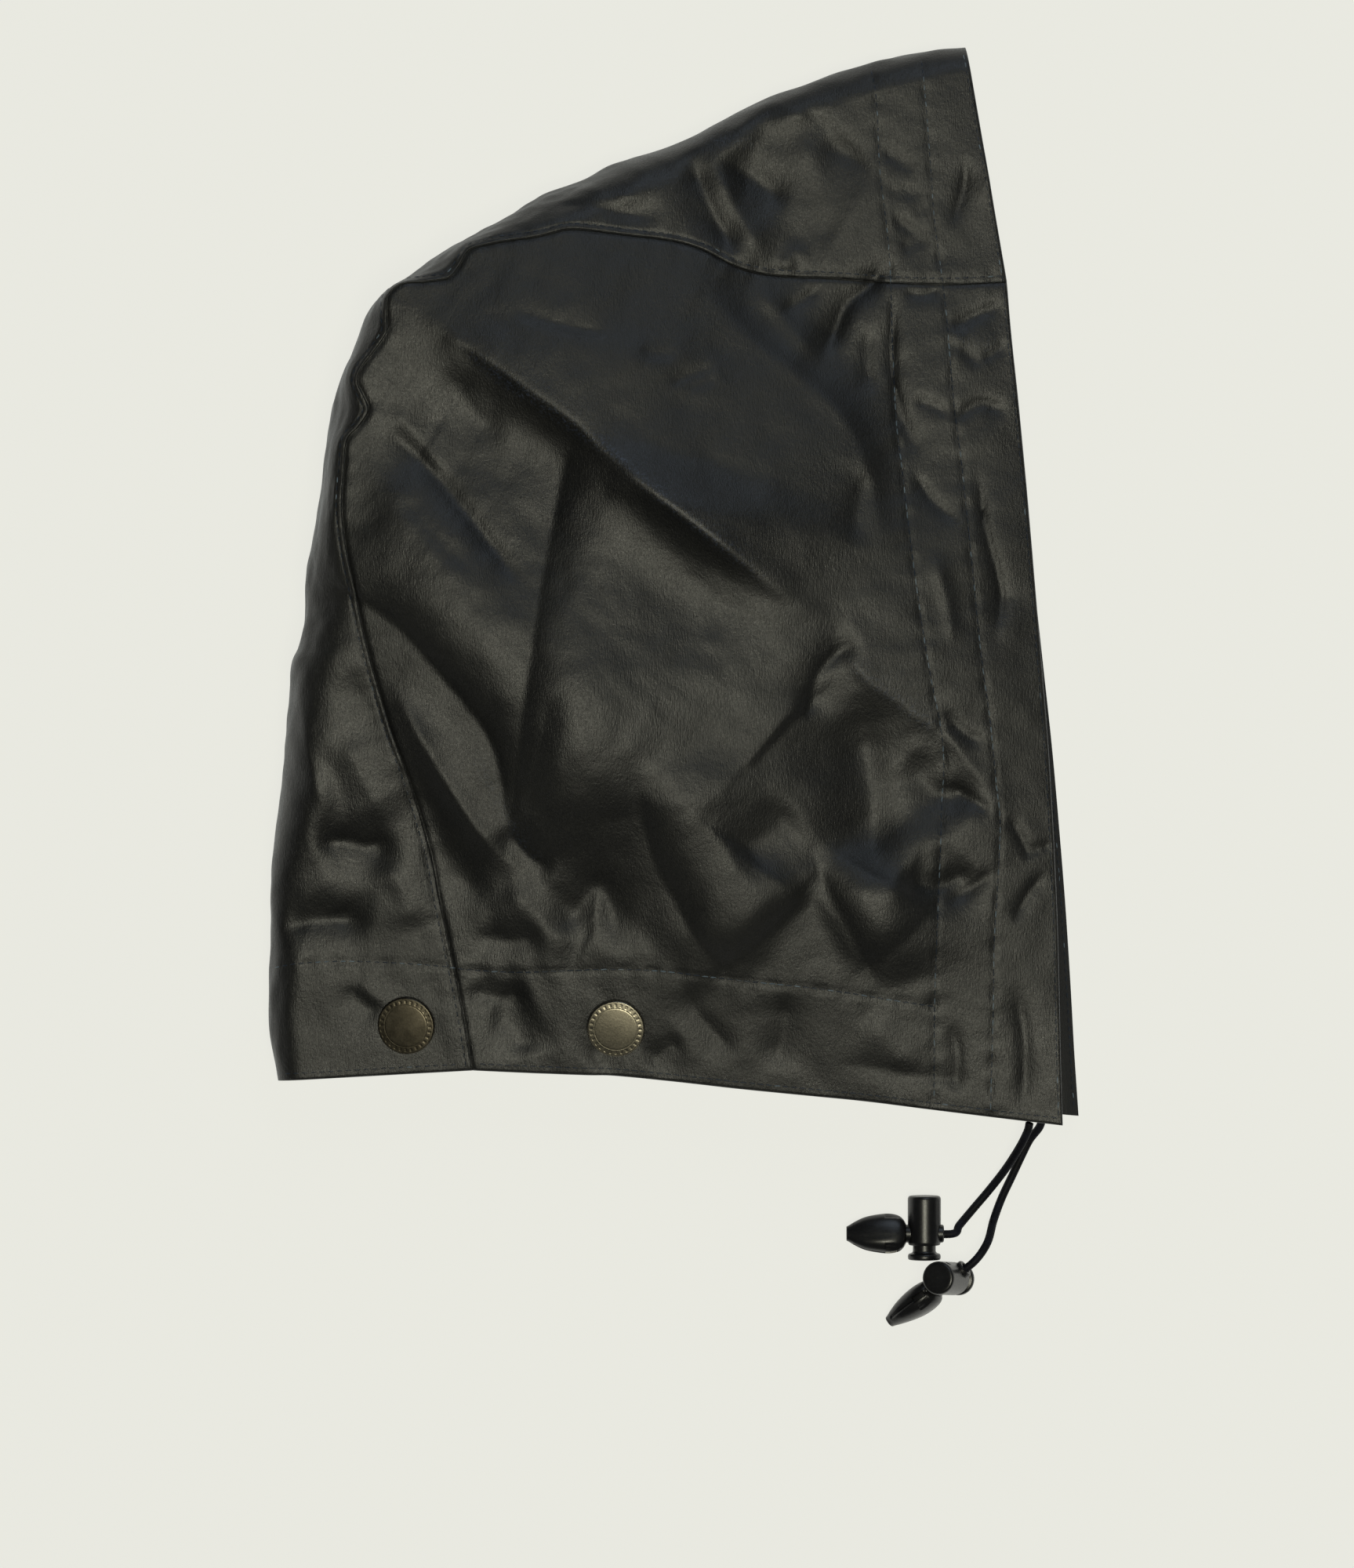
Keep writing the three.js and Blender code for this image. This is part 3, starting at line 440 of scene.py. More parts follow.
def bell():
    """A flattened clam: a seam runs down each narrow side, which holds a small window by the mouth."""
    x = steps((0.4, 0.13), (BELL_LENGTH - 0.8, 0.26), (0.4, 0.13))[:, None]
    share = x / BELL_LENGTH
    form = smooth_line(BELL_FORM, 8)
    wide = np.interp(share, form[:, 0], form[:, 1]) * BELL_WIDTH / 2
    thick = np.interp(share, form[:, 0], form[:, 2]) * BELL_THICKNESS / 2
    turn = full_turn(BELL_SIDES)[None]
    flatter = lambda wave: np.sign(wave) * np.abs(wave) ** BELL_POWER
    across, through = flatter(np.sin(turn)) * wide, flatter(np.cos(turn)) * thick
    edge = np.abs(np.sin(turn)) > 0.5
    seam = np.exp(-((through / BELL_SEAM_WIDTH) ** 2))
    seam = seam * smoothstep(x, *BELL_SEAM_SPAN[:2]) * (1 - smoothstep(x, *BELL_SEAM_SPAN[2:]))
    window = soft_box(x - WINDOW_MIDDLE, WINDOW_LENGTH / 2, 0.25) * soft_box(through, WINDOW_WIDTH / 2, 0.25)
    notch_place = NOTCH_ACROSS * np.sign(np.sin(turn))
    notch = soft_box(x - NOTCH_MIDDLE, 2.3, 0.2) * soft_box(across - notch_place, 0.8, 0.2)
    across = across * (1 - np.maximum(SEAM_DEPTH * seam, WINDOW_DEPTH * window) * edge / BELL_WIDTH * 2)
    swell = BELL_SWELL * (across < 0) * smoothstep(np.abs(across), 1.5, 4) * np.sin(math.pi * share)
    through = through * (1 - NOTCH_DEPTH * notch * (through < -1.5)) - swell
    mouth = BARREL_RADIUS + SLIDE_FIT
    return [closed_rings(np.stack([-mouth - x + 0 * turn, through, across], -1))]


def lock_matrix(end, rolled=False):
    origin, heading, axis, roll = LOCKS[end]
    z = Vector(axis)
    y = z.cross(Vector(heading)).normalized()
    x = y.cross(z)
    m = Matrix((x, y, z)).transposed().to_4x4()
    m.translation = Vector(origin)
    if rolled:
        m = m @ Matrix.Translation((0, 0, CORD_HOLE_HEIGHT)) @ Matrix.Rotation(math.radians(roll), 4, "X")
    return np.array(m)


for end in ("near", "far"):
    m, rolled = lock_matrix(end), lock_matrix(end, True)
    keep(joined("barrel_" + end, [place(p, m) for p in barrel()], 40), "black_nylon", "lock_barrel_" + end)
    stem = joined("plunger_" + end, [place(p, m) for p in plunger()], 40)
    keep(stem, "black_nylon", "lock_plunger_" + end, body="plunger_" + end)
    keep(joined("bell_" + end, [place(p, rolled) for p in bell()], 40), "black_nylon", "cord_bell_" + end)
    line = cord_lines[end]
    [tuple(p) for p in line(np.linspace(0, 1, CORD_PATH_POINTS)) * MM]

# The hood's lines and heights

LOFT = 42.0
BULGE = 11.0
CLOTH = 1.2
FACING = 1.0
PLY_GAP = 0.3
CROWN = 0.45
CASING_WIDTH = 21.0
FRONT_BAND = 39.0
NECK_BAND = 34.0
FAR_LEAD = 5.6
FAR_RISE = 2.5
EDGES_MEET = 0.62
CORD_ROOM = 0.5
CAP_RADIUS = 9.0
CAP_RISE = 2.3
SNAP_FIT = 0.35
TABLE_GAP = 0.3
LIFT_SPAN = 0.3

# Lines measured in the photo, in its pixels, front to back or top to bottom.
FOLD_LINE_PX = [
    (1233, 55), (1185, 60), (1105, 78), (985, 119), (925, 148), (865, 178), (805, 201), (745, 226),
    (685, 255), (625, 288), (585, 310), (545, 336), (505, 364), (487, 380), (465, 407), (450, 445),
    (437, 476), (429, 506), (418, 566), (413, 596), (400, 686), (389, 746), (387, 790), (381, 825),
    (372, 850), (364, 926), (357, 1016), (347, 1076), (343, 1136), (341, 1280), (346, 1340), (352, 1380),
]  # fmt: skip
NEAR_SEAM_PX = [
    (1285, 358), (1205, 362), (1135, 360), (1060, 355), (1000, 353), (960, 348), (935, 340),
    (900, 322), (860, 310), (800, 303), (745, 297), (720, 298), (690, 306), (650, 312), (620, 318),
    (600, 325), (588, 345), (575, 360), (545, 365), (515, 368), (498, 385), (497, 410), (497, 430),
    (480, 455), (465, 475), (460, 492), (468, 510), (474, 528), (462, 548), (447, 565), (443, 600),
    (440, 650), (445, 700), (455, 750), (465, 800), (480, 860), (500, 930), (522, 990), (540, 1050),
    (553, 1100), (562, 1150), (572, 1200), (580, 1240), (590, 1290), (602, 1366),
]  # fmt: skip
FACE_EDGE_PX = [
    (1357, 1437), (1354, 1350), (1352, 1260), (1349, 1160), (1344, 1060), (1338, 960), (1330, 860),
    (1320, 740), (1308, 600), (1299, 506), (1291, 430), (1285, 358),
]  # fmt: skip
NECK_EDGE_PX = [
    (602, 1366), (665, 1369), (745, 1372), (785, 1373), (865, 1381), (945, 1390), (1025, 1398),
    (1105, 1406), (1185, 1416), (1265, 1426), (1357, 1437),
]  # fmt: skip
# The lower layer's seam, mostly hidden, as the solids have it, in millimetres.
FAR_SEAM_MM = [
    (103.7, 94.7), (71.7, 91.7), (37.0, 90.3), (4.7, 88.3), (-22.6, 84.9), (-47.4, 78.2),
    (-64.7, 67.4), (-75.1, 48.9), (-81.3, 23.6), (-83.3, -10.1), (-82.1, -47.2), (-77.1, -84.2),
    (-70.2, -117.9), (-63.5, -149.0),
]  # fmt: skip

fold_line = Line(plan(FOLD_LINE_PX))
near_seam = Line(plan(NEAR_SEAM_PX))
far_seam = Line(FAR_SEAM_MM)
face_edge = Line(plan(FACE_EDGE_PX))
neck_edge = Line(plan(NECK_EDGE_PX))

# Heights along the seam and the fold, and how round the fold is, as shares of the loft.
STATIONS = (0, 0.2, 0.35, 0.45, 0.6, 0.75, 0.9, 1)
near_height = Curve(*zip(STATIONS, (0.46, 0.66, 0.88, 1, 1, 0.86, 0.6, 0.47)))
nose_height = Curve(*zip(STATIONS, (0.23, 0.33, 0.44, 0.5, 0.5, 0.42, 0.32, 0.27)))
nose_round = Curve(*zip(STATIONS, (0.23, 0.3, 0.36, 0.4, 0.42, 0.42, 0.3, 0.2)))
face_height = Curve((0, 0.41), (0.5, 0.52), (1, 0.46))
neck_height = Curve((0, 0.47), (0.45, 0.45), (1, 0.41))
HOOD_TOP = float(fold_line.points[:, 1].max())
HOOD_FOOT = float(face_edge.points[:, 1].min())
CAP_LIFT = CAP_RISE + SNAP_FIT + TABLE_GAP


def far_lift(v):
    return CAP_LIFT * (1 - smoothstep(v, LIFT_SPAN / 3, LIFT_SPAN))


def seam_row(s):
    return np.where(s > CROWN, (1 - s) / (1 - CROWN), 1.0)


def raised(xy, z):
    return np.concatenate([xy, np.broadcast_to(z, xy.shape[:-1])[..., None]], -1)


def near_seam_at(s):
    return raised(near_seam(s), LOFT * near_height(s))


def far_seam_at(s):
    return raised(far_seam(s), far_lift(seam_row(s)))


def near_face(v):
    return raised(face_edge(v), LOFT * face_height(v))


def near_neck(u):
    return raised(neck_edge(u), LOFT * neck_height(u))


def far_face(v):
    xy = face_edge(v).copy()
    share = (xy[..., 1] - HOOD_FOOT) / (HOOD_TOP - HOOD_FOOT)
    below = np.maximum(0, EDGES_MEET - share) / EDGES_MEET
    xy[..., 0] += FAR_LEAD * below**1.2
    xy[..., 1] += FAR_RISE * (1 - v)
    return raised(xy, far_lift(v))


def far_neck(u):
    xy = neck_edge(u).copy()
    xy[..., 0] += FAR_LEAD * u**3
    xy[..., 1] += FAR_RISE
    return raised(xy, far_lift(0))


def patch(back, face, neck, top, u, v):
    """A four-sided patch that fills its edge curves, at arrays of u (back to face) and v (neck to top)."""
    u1, v1 = u[..., None], v[..., None]
    corner = lambda p: np.asarray(p).reshape(3)
    one, zero = np.array([1.0]), np.array([0.0])
    return (
        back(v) * (1 - u1)
        + face(v) * u1
        + neck(u) * (1 - v1)
        + top(u) * v1
        - corner(neck(zero)) * (1 - u1) * (1 - v1)
        - corner(neck(one)) * u1 * (1 - v1)
        - corner(top(zero)) * (1 - u1) * v1
        - corner(top(one)) * u1 * v1
    )


# Folds of the upper layer

# Sewn lines seen in the photo, in its pixels.
INNER_STITCH_PX = [
    (1110, 80), (1118, 130), (1122, 215), (1128, 265), (1133, 310), (1136, 360), (1138, 430),
    (1143, 540), (1150, 600), (1160, 690), (1172, 780), (1185, 860), (1199, 930), (1203, 980),
    (1200, 1040), (1197, 1130), (1194, 1200), (1192, 1285), (1192, 1417),
]  # fmt: skip
OUTER_STITCH_PX = [
    (1175, 66), (1181, 130), (1187, 210), (1192, 280), (1200, 340), (1207, 400), (1211, 450),
    (1217, 520), (1226, 590), (1232, 650), (1241, 740), (1251, 840), (1262, 920), (1270, 1000),
    (1275, 1050), (1272, 1130), (1268, 1200), (1267, 1290), (1265, 1380), (1264, 1422),
]  # fmt: skip
NECK_STITCH_PX = [
    (343, 1236), (380, 1229), (440, 1226), (500, 1228), (560, 1232), (600, 1237), (660, 1240),
    (720, 1238), (780, 1236), (840, 1238), (900, 1245), (960, 1252), (1020, 1258), (1080, 1266),
    (1140, 1276), (1192, 1284),
]  # fmt: skip

MAIN_CREASE_PX = [
    (510, 378), (573, 431), (655, 488), (727, 538), (778, 584), (834, 633), (910, 691), (960, 730),
    (1002, 763), (1070, 806),
]  # fmt: skip

# Folds: the photo pixels that the crest or valley runs through, its height in millimetres (a valley's
# is negative), how far it reaches on the left and on the right of its run, and how sharp its crest is
# (1 a crease, 2 round). All fade out at their ends.
FOLDS = [
    # the plateau's climb to the main crease
    (MAIN_CREASE_PX, 5.0, 38, 9, 1.3),
    # grooves and ridges that run down from the notch in the back seam
    ([(488, 532), (505, 555), (548, 599), (604, 666), (655, 732), (680, 770)], -2.9, 4.5, 4.5, 1.0),
    ([(500, 520), (530, 555), (575, 610)], 1.0, 3.5, 3, 1.3),
    ([(470, 590), (520, 650), (580, 720), (630, 780)], 1.2, 6, 7, 1.6),
    ([(500, 620), (560, 690), (620, 755)], -1.0, 4, 4, 1.5),
    ([(560, 470), (600, 520), (650, 570)], -1.2, 5, 6, 1.5),
    ([(497, 860), (533, 931), (579, 1013), (619, 1069), (670, 1120)], 3.3, 5, 6, 1.2),
    ([(644, 1050), (668, 1085), (712, 1118)], -2.2, 5, 5, 1.2),
    ([(515, 950), (550, 1040), (585, 1110), (640, 1168)], -2.6, 9, 8, 1.8),
    # the belly
    ([(706, 870), (694, 940), (682, 1005), (668, 1062)], -1.6, 6, 8, 1.3),
    ([(930, 1100), (975, 1066), (1020, 1030)], -2.6, 8, 9, 1.7),
    # the hook fold by the front band, and the long soft valley that it throws
    ([(1026, 925), (1034, 885), (1047, 855), (1070, 832), (1100, 818)], -3.2, 5, 5, 1.0),
    ([(1084, 880), (1098, 940), (1108, 1010), (1112, 1080), (1110, 1150)], -5.0, 9, 15, 1.6),
    ([(1150, 960), (1190, 1010), (1250, 1030)], -2.0, 6, 8, 1.6),
    # above the neck band
    ([(1140, 1118), (1165, 1128), (1197, 1131), (1250, 1105)], -3.2, 8, 6, 1.3),
    ([(695, 1196), (730, 1170), (762, 1130), (783, 1165), (783, 1220)], -3.4, 8, 8, 1.4),
    ([(640, 1130), (700, 1185), (740, 1215)], 1.6, 6, 7, 1.7),
    ([(600, 1190), (650, 1200), (700, 1195)], -1.6, 5, 5, 1.5),
    # the top panel
    ([(905, 196), (926, 240), (950, 288), (984, 343)], 2.0, 5, 10, 1.3),
    ([(876, 186), (893, 235), (914, 282), (944, 338)], -2.6, 6, 5, 1.3),
    ([(912, 198), (960, 228), (1010, 264)], -2.2, 5, 6, 1.5),
    ([(1012, 160), (1040, 225), (1062, 300)], 1.3, 8, 13, 1.5),
    ([(1018, 136), (1062, 172), (1106, 216)], -1.6, 3, 5, 1.3),
    ([(1044, 178), (1085, 200), (1120, 224)], -1.0, 2.2, 3, 1.3),
    ([(990, 350), (1005, 333), (1016, 321), (1034, 340)], 1.0, 3, 3, 1.4),
    ([(735, 236), (780, 248), (830, 262)], 0.7, 5, 6, 1.4),
    ([(690, 262), (760, 268), (850, 285)], -1.0, 4, 4, 1.5),
    ([(620, 300), (700, 275), (800, 240)], 0.7, 6, 6, 1.7),
    # round the front seam and the top of the band
    ([(1136, 322), (1112, 362), (1080, 390), (1062, 430), (1042, 466)], -2.6, 3.0, 5.0, 1.2),
    ([(956, 360), (990, 395), (1018, 430), (1044, 468)], 1.6, 5, 5, 1.5),
    ([(992, 401), (1022, 384), (1050, 364)], -1.1, 1.3, 1.8, 1.0),
    ([(1152, 368), (1141, 408), (1136, 444), (1139, 480), (1146, 516), (1160, 556),
      (1186, 594)], -1.3, 2.2, 3.4, 1.2),
    ([(1112, 412), (1106, 445), (1108, 480), (1114, 510)], -1.0, 2.2, 3, 1.3),
    ([(1110, 600), (1095, 640), (1088, 700)], -1.0, 4, 4, 1.5),
    # short creases of the plateau
    ([(650, 402), (680, 411), (712, 421), (750, 428), (790, 431)], -1.2, 4, 1.0, 1.0),
    ([(812, 452), (840, 459), (866, 457)], -0.8, 3, 0.9, 1.0),
    ([(850, 497), (880, 484), (918, 470)], -0.9, 3, 0.9, 1.0),
    ([(872, 502), (897, 494), (916, 484)], -0.6, 2, 0.8, 1.0),
    ([(575, 440), (625, 478), (680, 520)], -1.0, 3, 3, 1.1),
    # the centre panel at the back
    ([(370, 805), (382, 870), (392, 940), (408, 1010), (424, 1060)], 1.7, 5.0, 7.5, 1.2),
    ([(398, 1085), (437, 1072), (470, 1080), (512, 1066)], -3.0, 6.0, 8.0, 1.2),
    ([(345, 1190), (385, 1178), (430, 1172), (482, 1180)], -3.0, 8.0, 6.0, 1.3),
    ([(388, 790), (409, 771), (460, 752)], -1.4, 4.4, 5.0, 1.1),
    ([(440, 930), (462, 990), (500, 1055)], 1.4, 7.5, 7.5, 1.4),
    ([(412, 940), (430, 1000), (450, 1050)], -0.8, 5.0, 5.0, 1.5),
    ([(440, 850), (470, 900), (500, 960)], -1.0, 7.5, 7.5, 1.6),
    ([(480, 1092), (510, 1130), (532, 1190)], 1.5, 6.2, 7.5, 1.4),
    ([(400, 1110), (430, 1140), (450, 1165)], 0.8, 7.5, 7.5, 1.6),
    ([(430, 600), (425, 660), (420, 720)], 0.6, 5.0, 6.2, 1.6),
    # the neck band
    ([(870, 1250), (885, 1285), (905, 1310), (945, 1352)], -1.7, 5.5, 5.5, 1.2),
    ([(1000, 1262), (1001, 1310), (983, 1372)], -1.6, 5.5, 5.5, 1.4),
    ([(822, 1362), (848, 1340), (872, 1322)], -1.3, 4.4, 4.4, 1.3),
    ([(440, 1255), (460, 1275), (490, 1296)], -1.3, 3.3, 4.4, 1.1),
    ([(452, 1248), (474, 1270), (500, 1285)], 1.0, 3.3, 3.3, 1.3),
    ([(590, 1262), (640, 1272), (680, 1262)], -1.6, 5.5, 5.5, 1.5),
    ([(620, 1290), (660, 1310), (672, 1352)], -1.6, 7.7, 7.7, 1.7),
    ([(745, 1360), (770, 1330), (765, 1290)], -1.3, 5.5, 5.5, 1.5),
    ([(1057, 1353), (1125, 1364), (1190, 1376), (1257, 1380)], -0.7, 3.3, 3.3, 1.3),
    ([(1100, 1300), (1140, 1330), (1170, 1370)], 0.7, 7.7, 7.7, 1.8),
    # the front band
    ([(1120, 187), (1145, 203), (1170, 214)], -1.1, 1.5, 1.7, 1.0),
    ([(1124, 240), (1150, 243), (1183, 249)], -1.0, 1.3, 1.5, 1.0),
    ([(1162, 271), (1176, 268), (1188, 262)], -0.7, 1.2, 1.3, 1.1),
    ([(1134, 272), (1155, 288), (1182, 305)], -1.1, 1.5, 1.8, 1.0),
    ([(1146, 318), (1170, 310), (1192, 306)], -0.7, 1.5, 1.5, 1.2),
    ([(1234, 198), (1230, 240), (1213, 290)], -1.3, 1.6, 2.1, 1.1),
    ([(1204, 425), (1240, 404), (1284, 385)], -1.4, 1.6, 2.2, 1.0),
    ([(1205, 410), (1222, 436), (1216, 470)], 0.7, 2.6, 2.8, 1.5),
    ([(1250, 459), (1270, 448), (1290, 438)], -0.9, 1.5, 1.7, 1.1),
    ([(1205, 432), (1232, 450), (1258, 470)], -0.7, 2.0, 2.1, 1.4),
    ([(1212, 540), (1250, 515), (1290, 528)], -1.4, 1.8, 2.4, 1.1),
    ([(1160, 508), (1185, 516), (1214, 530)], -1.0, 1.5, 1.7, 1.0),
    ([(1150, 370), (1175, 376), (1205, 366)], -0.9, 1.6, 2.0, 1.1),
    ([(1160, 600), (1176, 620), (1190, 641), (1230, 672)], -1.3, 1.8, 2.4, 1.1),
    ([(1246, 590), (1252, 640), (1258, 681), (1277, 759), (1266, 828)], -1.4, 1.7, 2.4, 1.1),
    ([(1186, 700), (1205, 760), (1218, 830)], 0.9, 2.6, 2.8, 1.6),
    ([(1200, 900), (1228, 935), (1262, 950)], -1.1, 2.0, 2.1, 1.3),
    ([(1206, 1000), (1236, 1018), (1268, 1040)], -1.5, 2.2, 2.4, 1.2),
    ([(1200, 1150), (1230, 1138), (1270, 1108)], -1.5, 2.1, 2.8, 1.2),
    ([(1282, 1040), (1298, 1060), (1313, 1094)], -1.1, 1.5, 1.7, 1.1),
    ([(1300, 1092), (1322, 1084), (1348, 1073)], -1.1, 1.3, 1.5, 1.1),
    ([(1290, 1180), (1312, 1140), (1338, 1110)], -1.1, 2.0, 2.1, 1.3),
    ([(1294, 1250), (1308, 1333), (1305, 1425)], -1.3, 3.0, 3.1, 1.5),
    ([(1212, 1300), (1222, 1350), (1218, 1405)], -0.9, 2.6, 2.8, 1.6),
    ([(1275, 170), (1262, 230), (1240, 260)], 0.7, 2.6, 2.8, 1.5),
]  # fmt: skip

# Terraces: cloth that climbs (or drops, where negative) from a crisp line, on one side of it only. Its
# line in pixels, its height, the side (1 is the left of its run), how wide the climb is, how far off it
# dies away, how soft its start is (1 crisp), and the shares of its run over which its two ends fade in.
TERRACES = [
    # the drop below the main crease, from the crown to the middle
    (MAIN_CREASE_PX, -6.5, -1, 9.5, 60, 1.0, 0.3, 0.3),
    # the belly's left wall
    ([(735, 545), (712, 640), (694, 737), (684, 800), (672, 890), (662, 982), (648, 1075),
      (640, 1165)], 8.0, 1, 13, 58, 1.0, 0.12, 0.42),
    # the wall over the deep valley
    ([(385, 715), (430, 750), (505, 796), (552, 846), (590, 892), (622, 936), (640, 990),
      (646, 1055), (652, 1110)], 9.5, 1, 11, 42, 1.0, 0.34, 0.3),
    # the hook fold
    ([(1060, 826), (1080, 842), (1105, 868), (1140, 892), (1170, 915), (1205, 937), (1235, 975),
      (1272, 1022)], -4.5, -1, 9, 34, 1.0, 0.2, 0.2),
    # the zigzag over the neck band
    ([(800, 965), (816, 1030), (834, 1095), (860, 1146), (885, 1193), (924, 1236),
      (965, 1268)], 7.5, 1, 11, 30, 1.1, 0.24, 0.24),
    ([(880, 1272), (924, 1236), (954, 1212), (995, 1182), (1030, 1152),
      (1052, 1110)], 4.2, 1, 10, 26, 1.1, 0.24, 0.24),
    ([(1030, 1070), (1056, 1140), (1083, 1186), (1106, 1231),
      (1122, 1272)], 6.0, 1, 9, 24, 1.1, 0.26, 0.26),
    ([(1078, 1250), (1106, 1233), (1153, 1199), (1186, 1165),
      (1205, 1125)], 4.5, 1, 9, 22, 1.1, 0.26, 0.26),
    # the soft flank of the ridge by the front band
    ([(880, 345), (920, 395), (965, 440), (1020, 482), (1070, 528), (1102, 585), (1118, 660),
      (1124, 740)], -4.2, 1, 7, 24, 1.2, 0.3, 0.4),
    # the slope under the upper crease of the top panel
    ([(955, 122), (1000, 138), (1042, 158), (1072, 180), (1094, 208),
      (1120, 226)], -4.0, -1, 12, 34, 1.0, 0.2, 0.2),
]  # fmt: skip
# Crests rubbed pale, and how much: speckled wear that also paints the bright highlight these crests catch; on
# their left the paling spreads wider, as wear with a painted bluish sheen.
WEAR_AND_HIGHLIGHT = [
    ([(573, 436), (655, 497), (716, 538), (778, 581), (839, 635), (910, 691), (971, 742),
      (1002, 768)], 1.0),
    ([(1076, 842), (1105, 866), (1140, 892), (1170, 915), (1205, 937)], 0.8),
    ([(1205, 425), (1240, 440), (1290, 445)], 0.5),
    ([(850, 182), (879, 176), (930, 182), (975, 186)], 0.5),
    ([(600, 955), (632, 1013), (665, 1075), (700, 1105)], 0.4),
]  # fmt: skip
# The cloth's small waves: height, count, longest and shortest length, seed of their draws.
LOOSE_CLOTH = ((0.38, 24, 60, 22, 3), (0.14, 30, 18, 7, 4))
ROUND_FOLD = ((0.65, 18, 48, 16, 21), (0.2, 26, 16, 7, 22))
FAR_CLOTH = ((1.0, 16, 40, 14, 8),)
FAR_RIPPLE = 0.12
FOLD_FADE = 0.3
FOLD_REACH = 3.4
TERRACE_REACH = 2.5
WEAR_AND_HIGHLIGHT_FADE = (0.15, 0.2)
WEAR_AND_HIGHLIGHT_WIDTH = 1.6
WEAR_AND_HIGHLIGHT_HALO = 8.0
WEAR_AND_HIGHLIGHT_HALO_SHARE = 0.3
LINE_STEPS = 8


def with_lines(entries):
    """Each entry with its pixels made into a line in plan, followed by that line's length."""
    made = []
    for points, *sizes in entries:
        line = smooth_line(plan(points), LINE_STEPS)
        made.append((line, arc(line)[-1], *sizes))
    return made


fold_shapes, terrace_shapes, wear_and_highlight_lines = map(with_lines, (FOLDS, TERRACES, WEAR_AND_HIGHLIGHT))
stitch_paths = [smooth_line(plan(p), LINE_STEPS) for p in (INNER_STITCH_PX, OUTER_STITCH_PX, NECK_STITCH_PX)]


def waves(x, y, count, longest, shortest, seed):
    """Smooth wandering relief, about 1 high: many waves of random direction."""
    draw = np.random.default_rng(seed)
    total = np.zeros(np.shape(x))
    warp_x = 6 * np.sin(x / 31 + 1.3) + 5 * np.sin(y / 23 + x / 47)
    warp_y = 6 * np.sin(y / 37 + 0.4) + 5 * np.sin(x / 27 - y / 51)
    for _ in range(count):
        length = longest * (shortest / longest) ** draw.random()
        turn, phase = draw.random(2) * 2 * math.pi
        k = 2 * math.pi / length
        run = math.cos(turn) * (x + warp_x) + math.sin(turn) * (y + warp_y)
        total += (length / longest) * np.sin(k * run + phase)
    return total / math.sqrt(count)


def ripples(x, y, layers):
    """Several layers of waves, each with its height."""
    return sum(height * waves(x, y, *layer) for height, *layer in layers)


def ends_fade(share, start, end):
    return smoothstep(share, 0, start) * (1 - smoothstep(share, 1 - end, 1))


def fold_relief(x, y):
    """What the folds add to the height of the upper layer, in millimetres."""
    total = np.zeros(np.shape(x))
    for line, length, height, left, right, sharp in fold_shapes:
        reach = FOLD_REACH * max(left, right)
        d, s = along(line, x, y, reach)
        fade = ends_fade(s / length, FOLD_FADE, FOLD_FADE)
        width = np.where(d >= 0, left, right)
        total += height * fade * np.exp(-((np.abs(d) / width) ** sharp)) * (np.abs(d) < reach)
    for line, length, height, side, climb, dying, sharp, fade_in, fade_out in terrace_shapes:
        d, s = along(line, x, y, TERRACE_REACH * dying)
        fade = ends_fade(s / length, fade_in, fade_out)
        d = np.maximum(0, d * side)
        total += height * fade * (1 - np.exp(-((d / climb) ** sharp))) * np.exp(-((d / dying) ** 2))
    return total


# The ditch that a row of stitches pulls into the cloth, its puckers, and the seam's topstitched lap.
DITCH_DEPTH = 0.26
DITCH_WIDTH = 0.9
SEAM_DITCH = 0.5
LAP_HEIGHT = 0.3
LAP_STITCH_IN = 1.7
LAP_STITCH_DEPTH = 0.2
PUCKER = 0.16
SEAM_PUCKER = 0.13


def band_relief(x, y):
    """The puckered ditches along the sewn lines."""
    total = np.zeros(np.shape(x))
    for line in stitch_paths:
        d, s = along(line, x, y, 12)
        pull = 1 + 0.5 * np.sin(s / 1.9 + 2 * np.sin(s / 17))
        total -= DITCH_DEPTH * pull * np.exp(-((d / DITCH_WIDTH) ** 2))
        total += PUCKER * np.sin(s / 1.35 + 3 * np.sin(s / 23)) * np.exp(-np.abs(d) / 3.0)
    return total


def seam_relief(x, y, centre_side):
    """The lapped seam: a ditch on the side panel, a raised and topstitched lap on the centre panel."""
    d, s = along(near_seam.points, x, y, 14)
    d = np.abs(d)
    pucker = np.sin(s / 1.15 + 2.5 * np.sin(s / 13)) * np.exp(-d / 3.5)
    if not centre_side:
        return SEAM_PUCKER * pucker - SEAM_DITCH * np.exp(-((d / DITCH_WIDTH) ** 2))
    lap = LAP_HEIGHT * smoothstep(d, -0.1, 0.4) * (1 - smoothstep(d, 3.0, 9.5))
    return lap + PUCKER * pucker - LAP_STITCH_DEPTH * np.exp(-(((d - LAP_STITCH_IN) / 0.5) ** 2))


def wear_and_highlight_at(x, y):
    """How rubbed the cloth is, with a highlight painted along the same crests: most on the crests of its
    sharpest folds.
    """
    total = np.zeros(np.shape(x))
    for line, length, strength in wear_and_highlight_lines:
        d, s = along(line, x, y, 2 * WEAR_AND_HIGHLIGHT_HALO)
        halo = WEAR_AND_HIGHLIGHT_HALO_SHARE * np.exp(-((d / WEAR_AND_HIGHLIGHT_HALO) ** 2)) * (d > 0)
        total += strength * ends_fade(s / length, *WEAR_AND_HIGHLIGHT_FADE) * (np.exp(-((d / WEAR_AND_HIGHLIGHT_WIDTH) ** 2)) + halo)
    return np.clip(total, 0, 1)


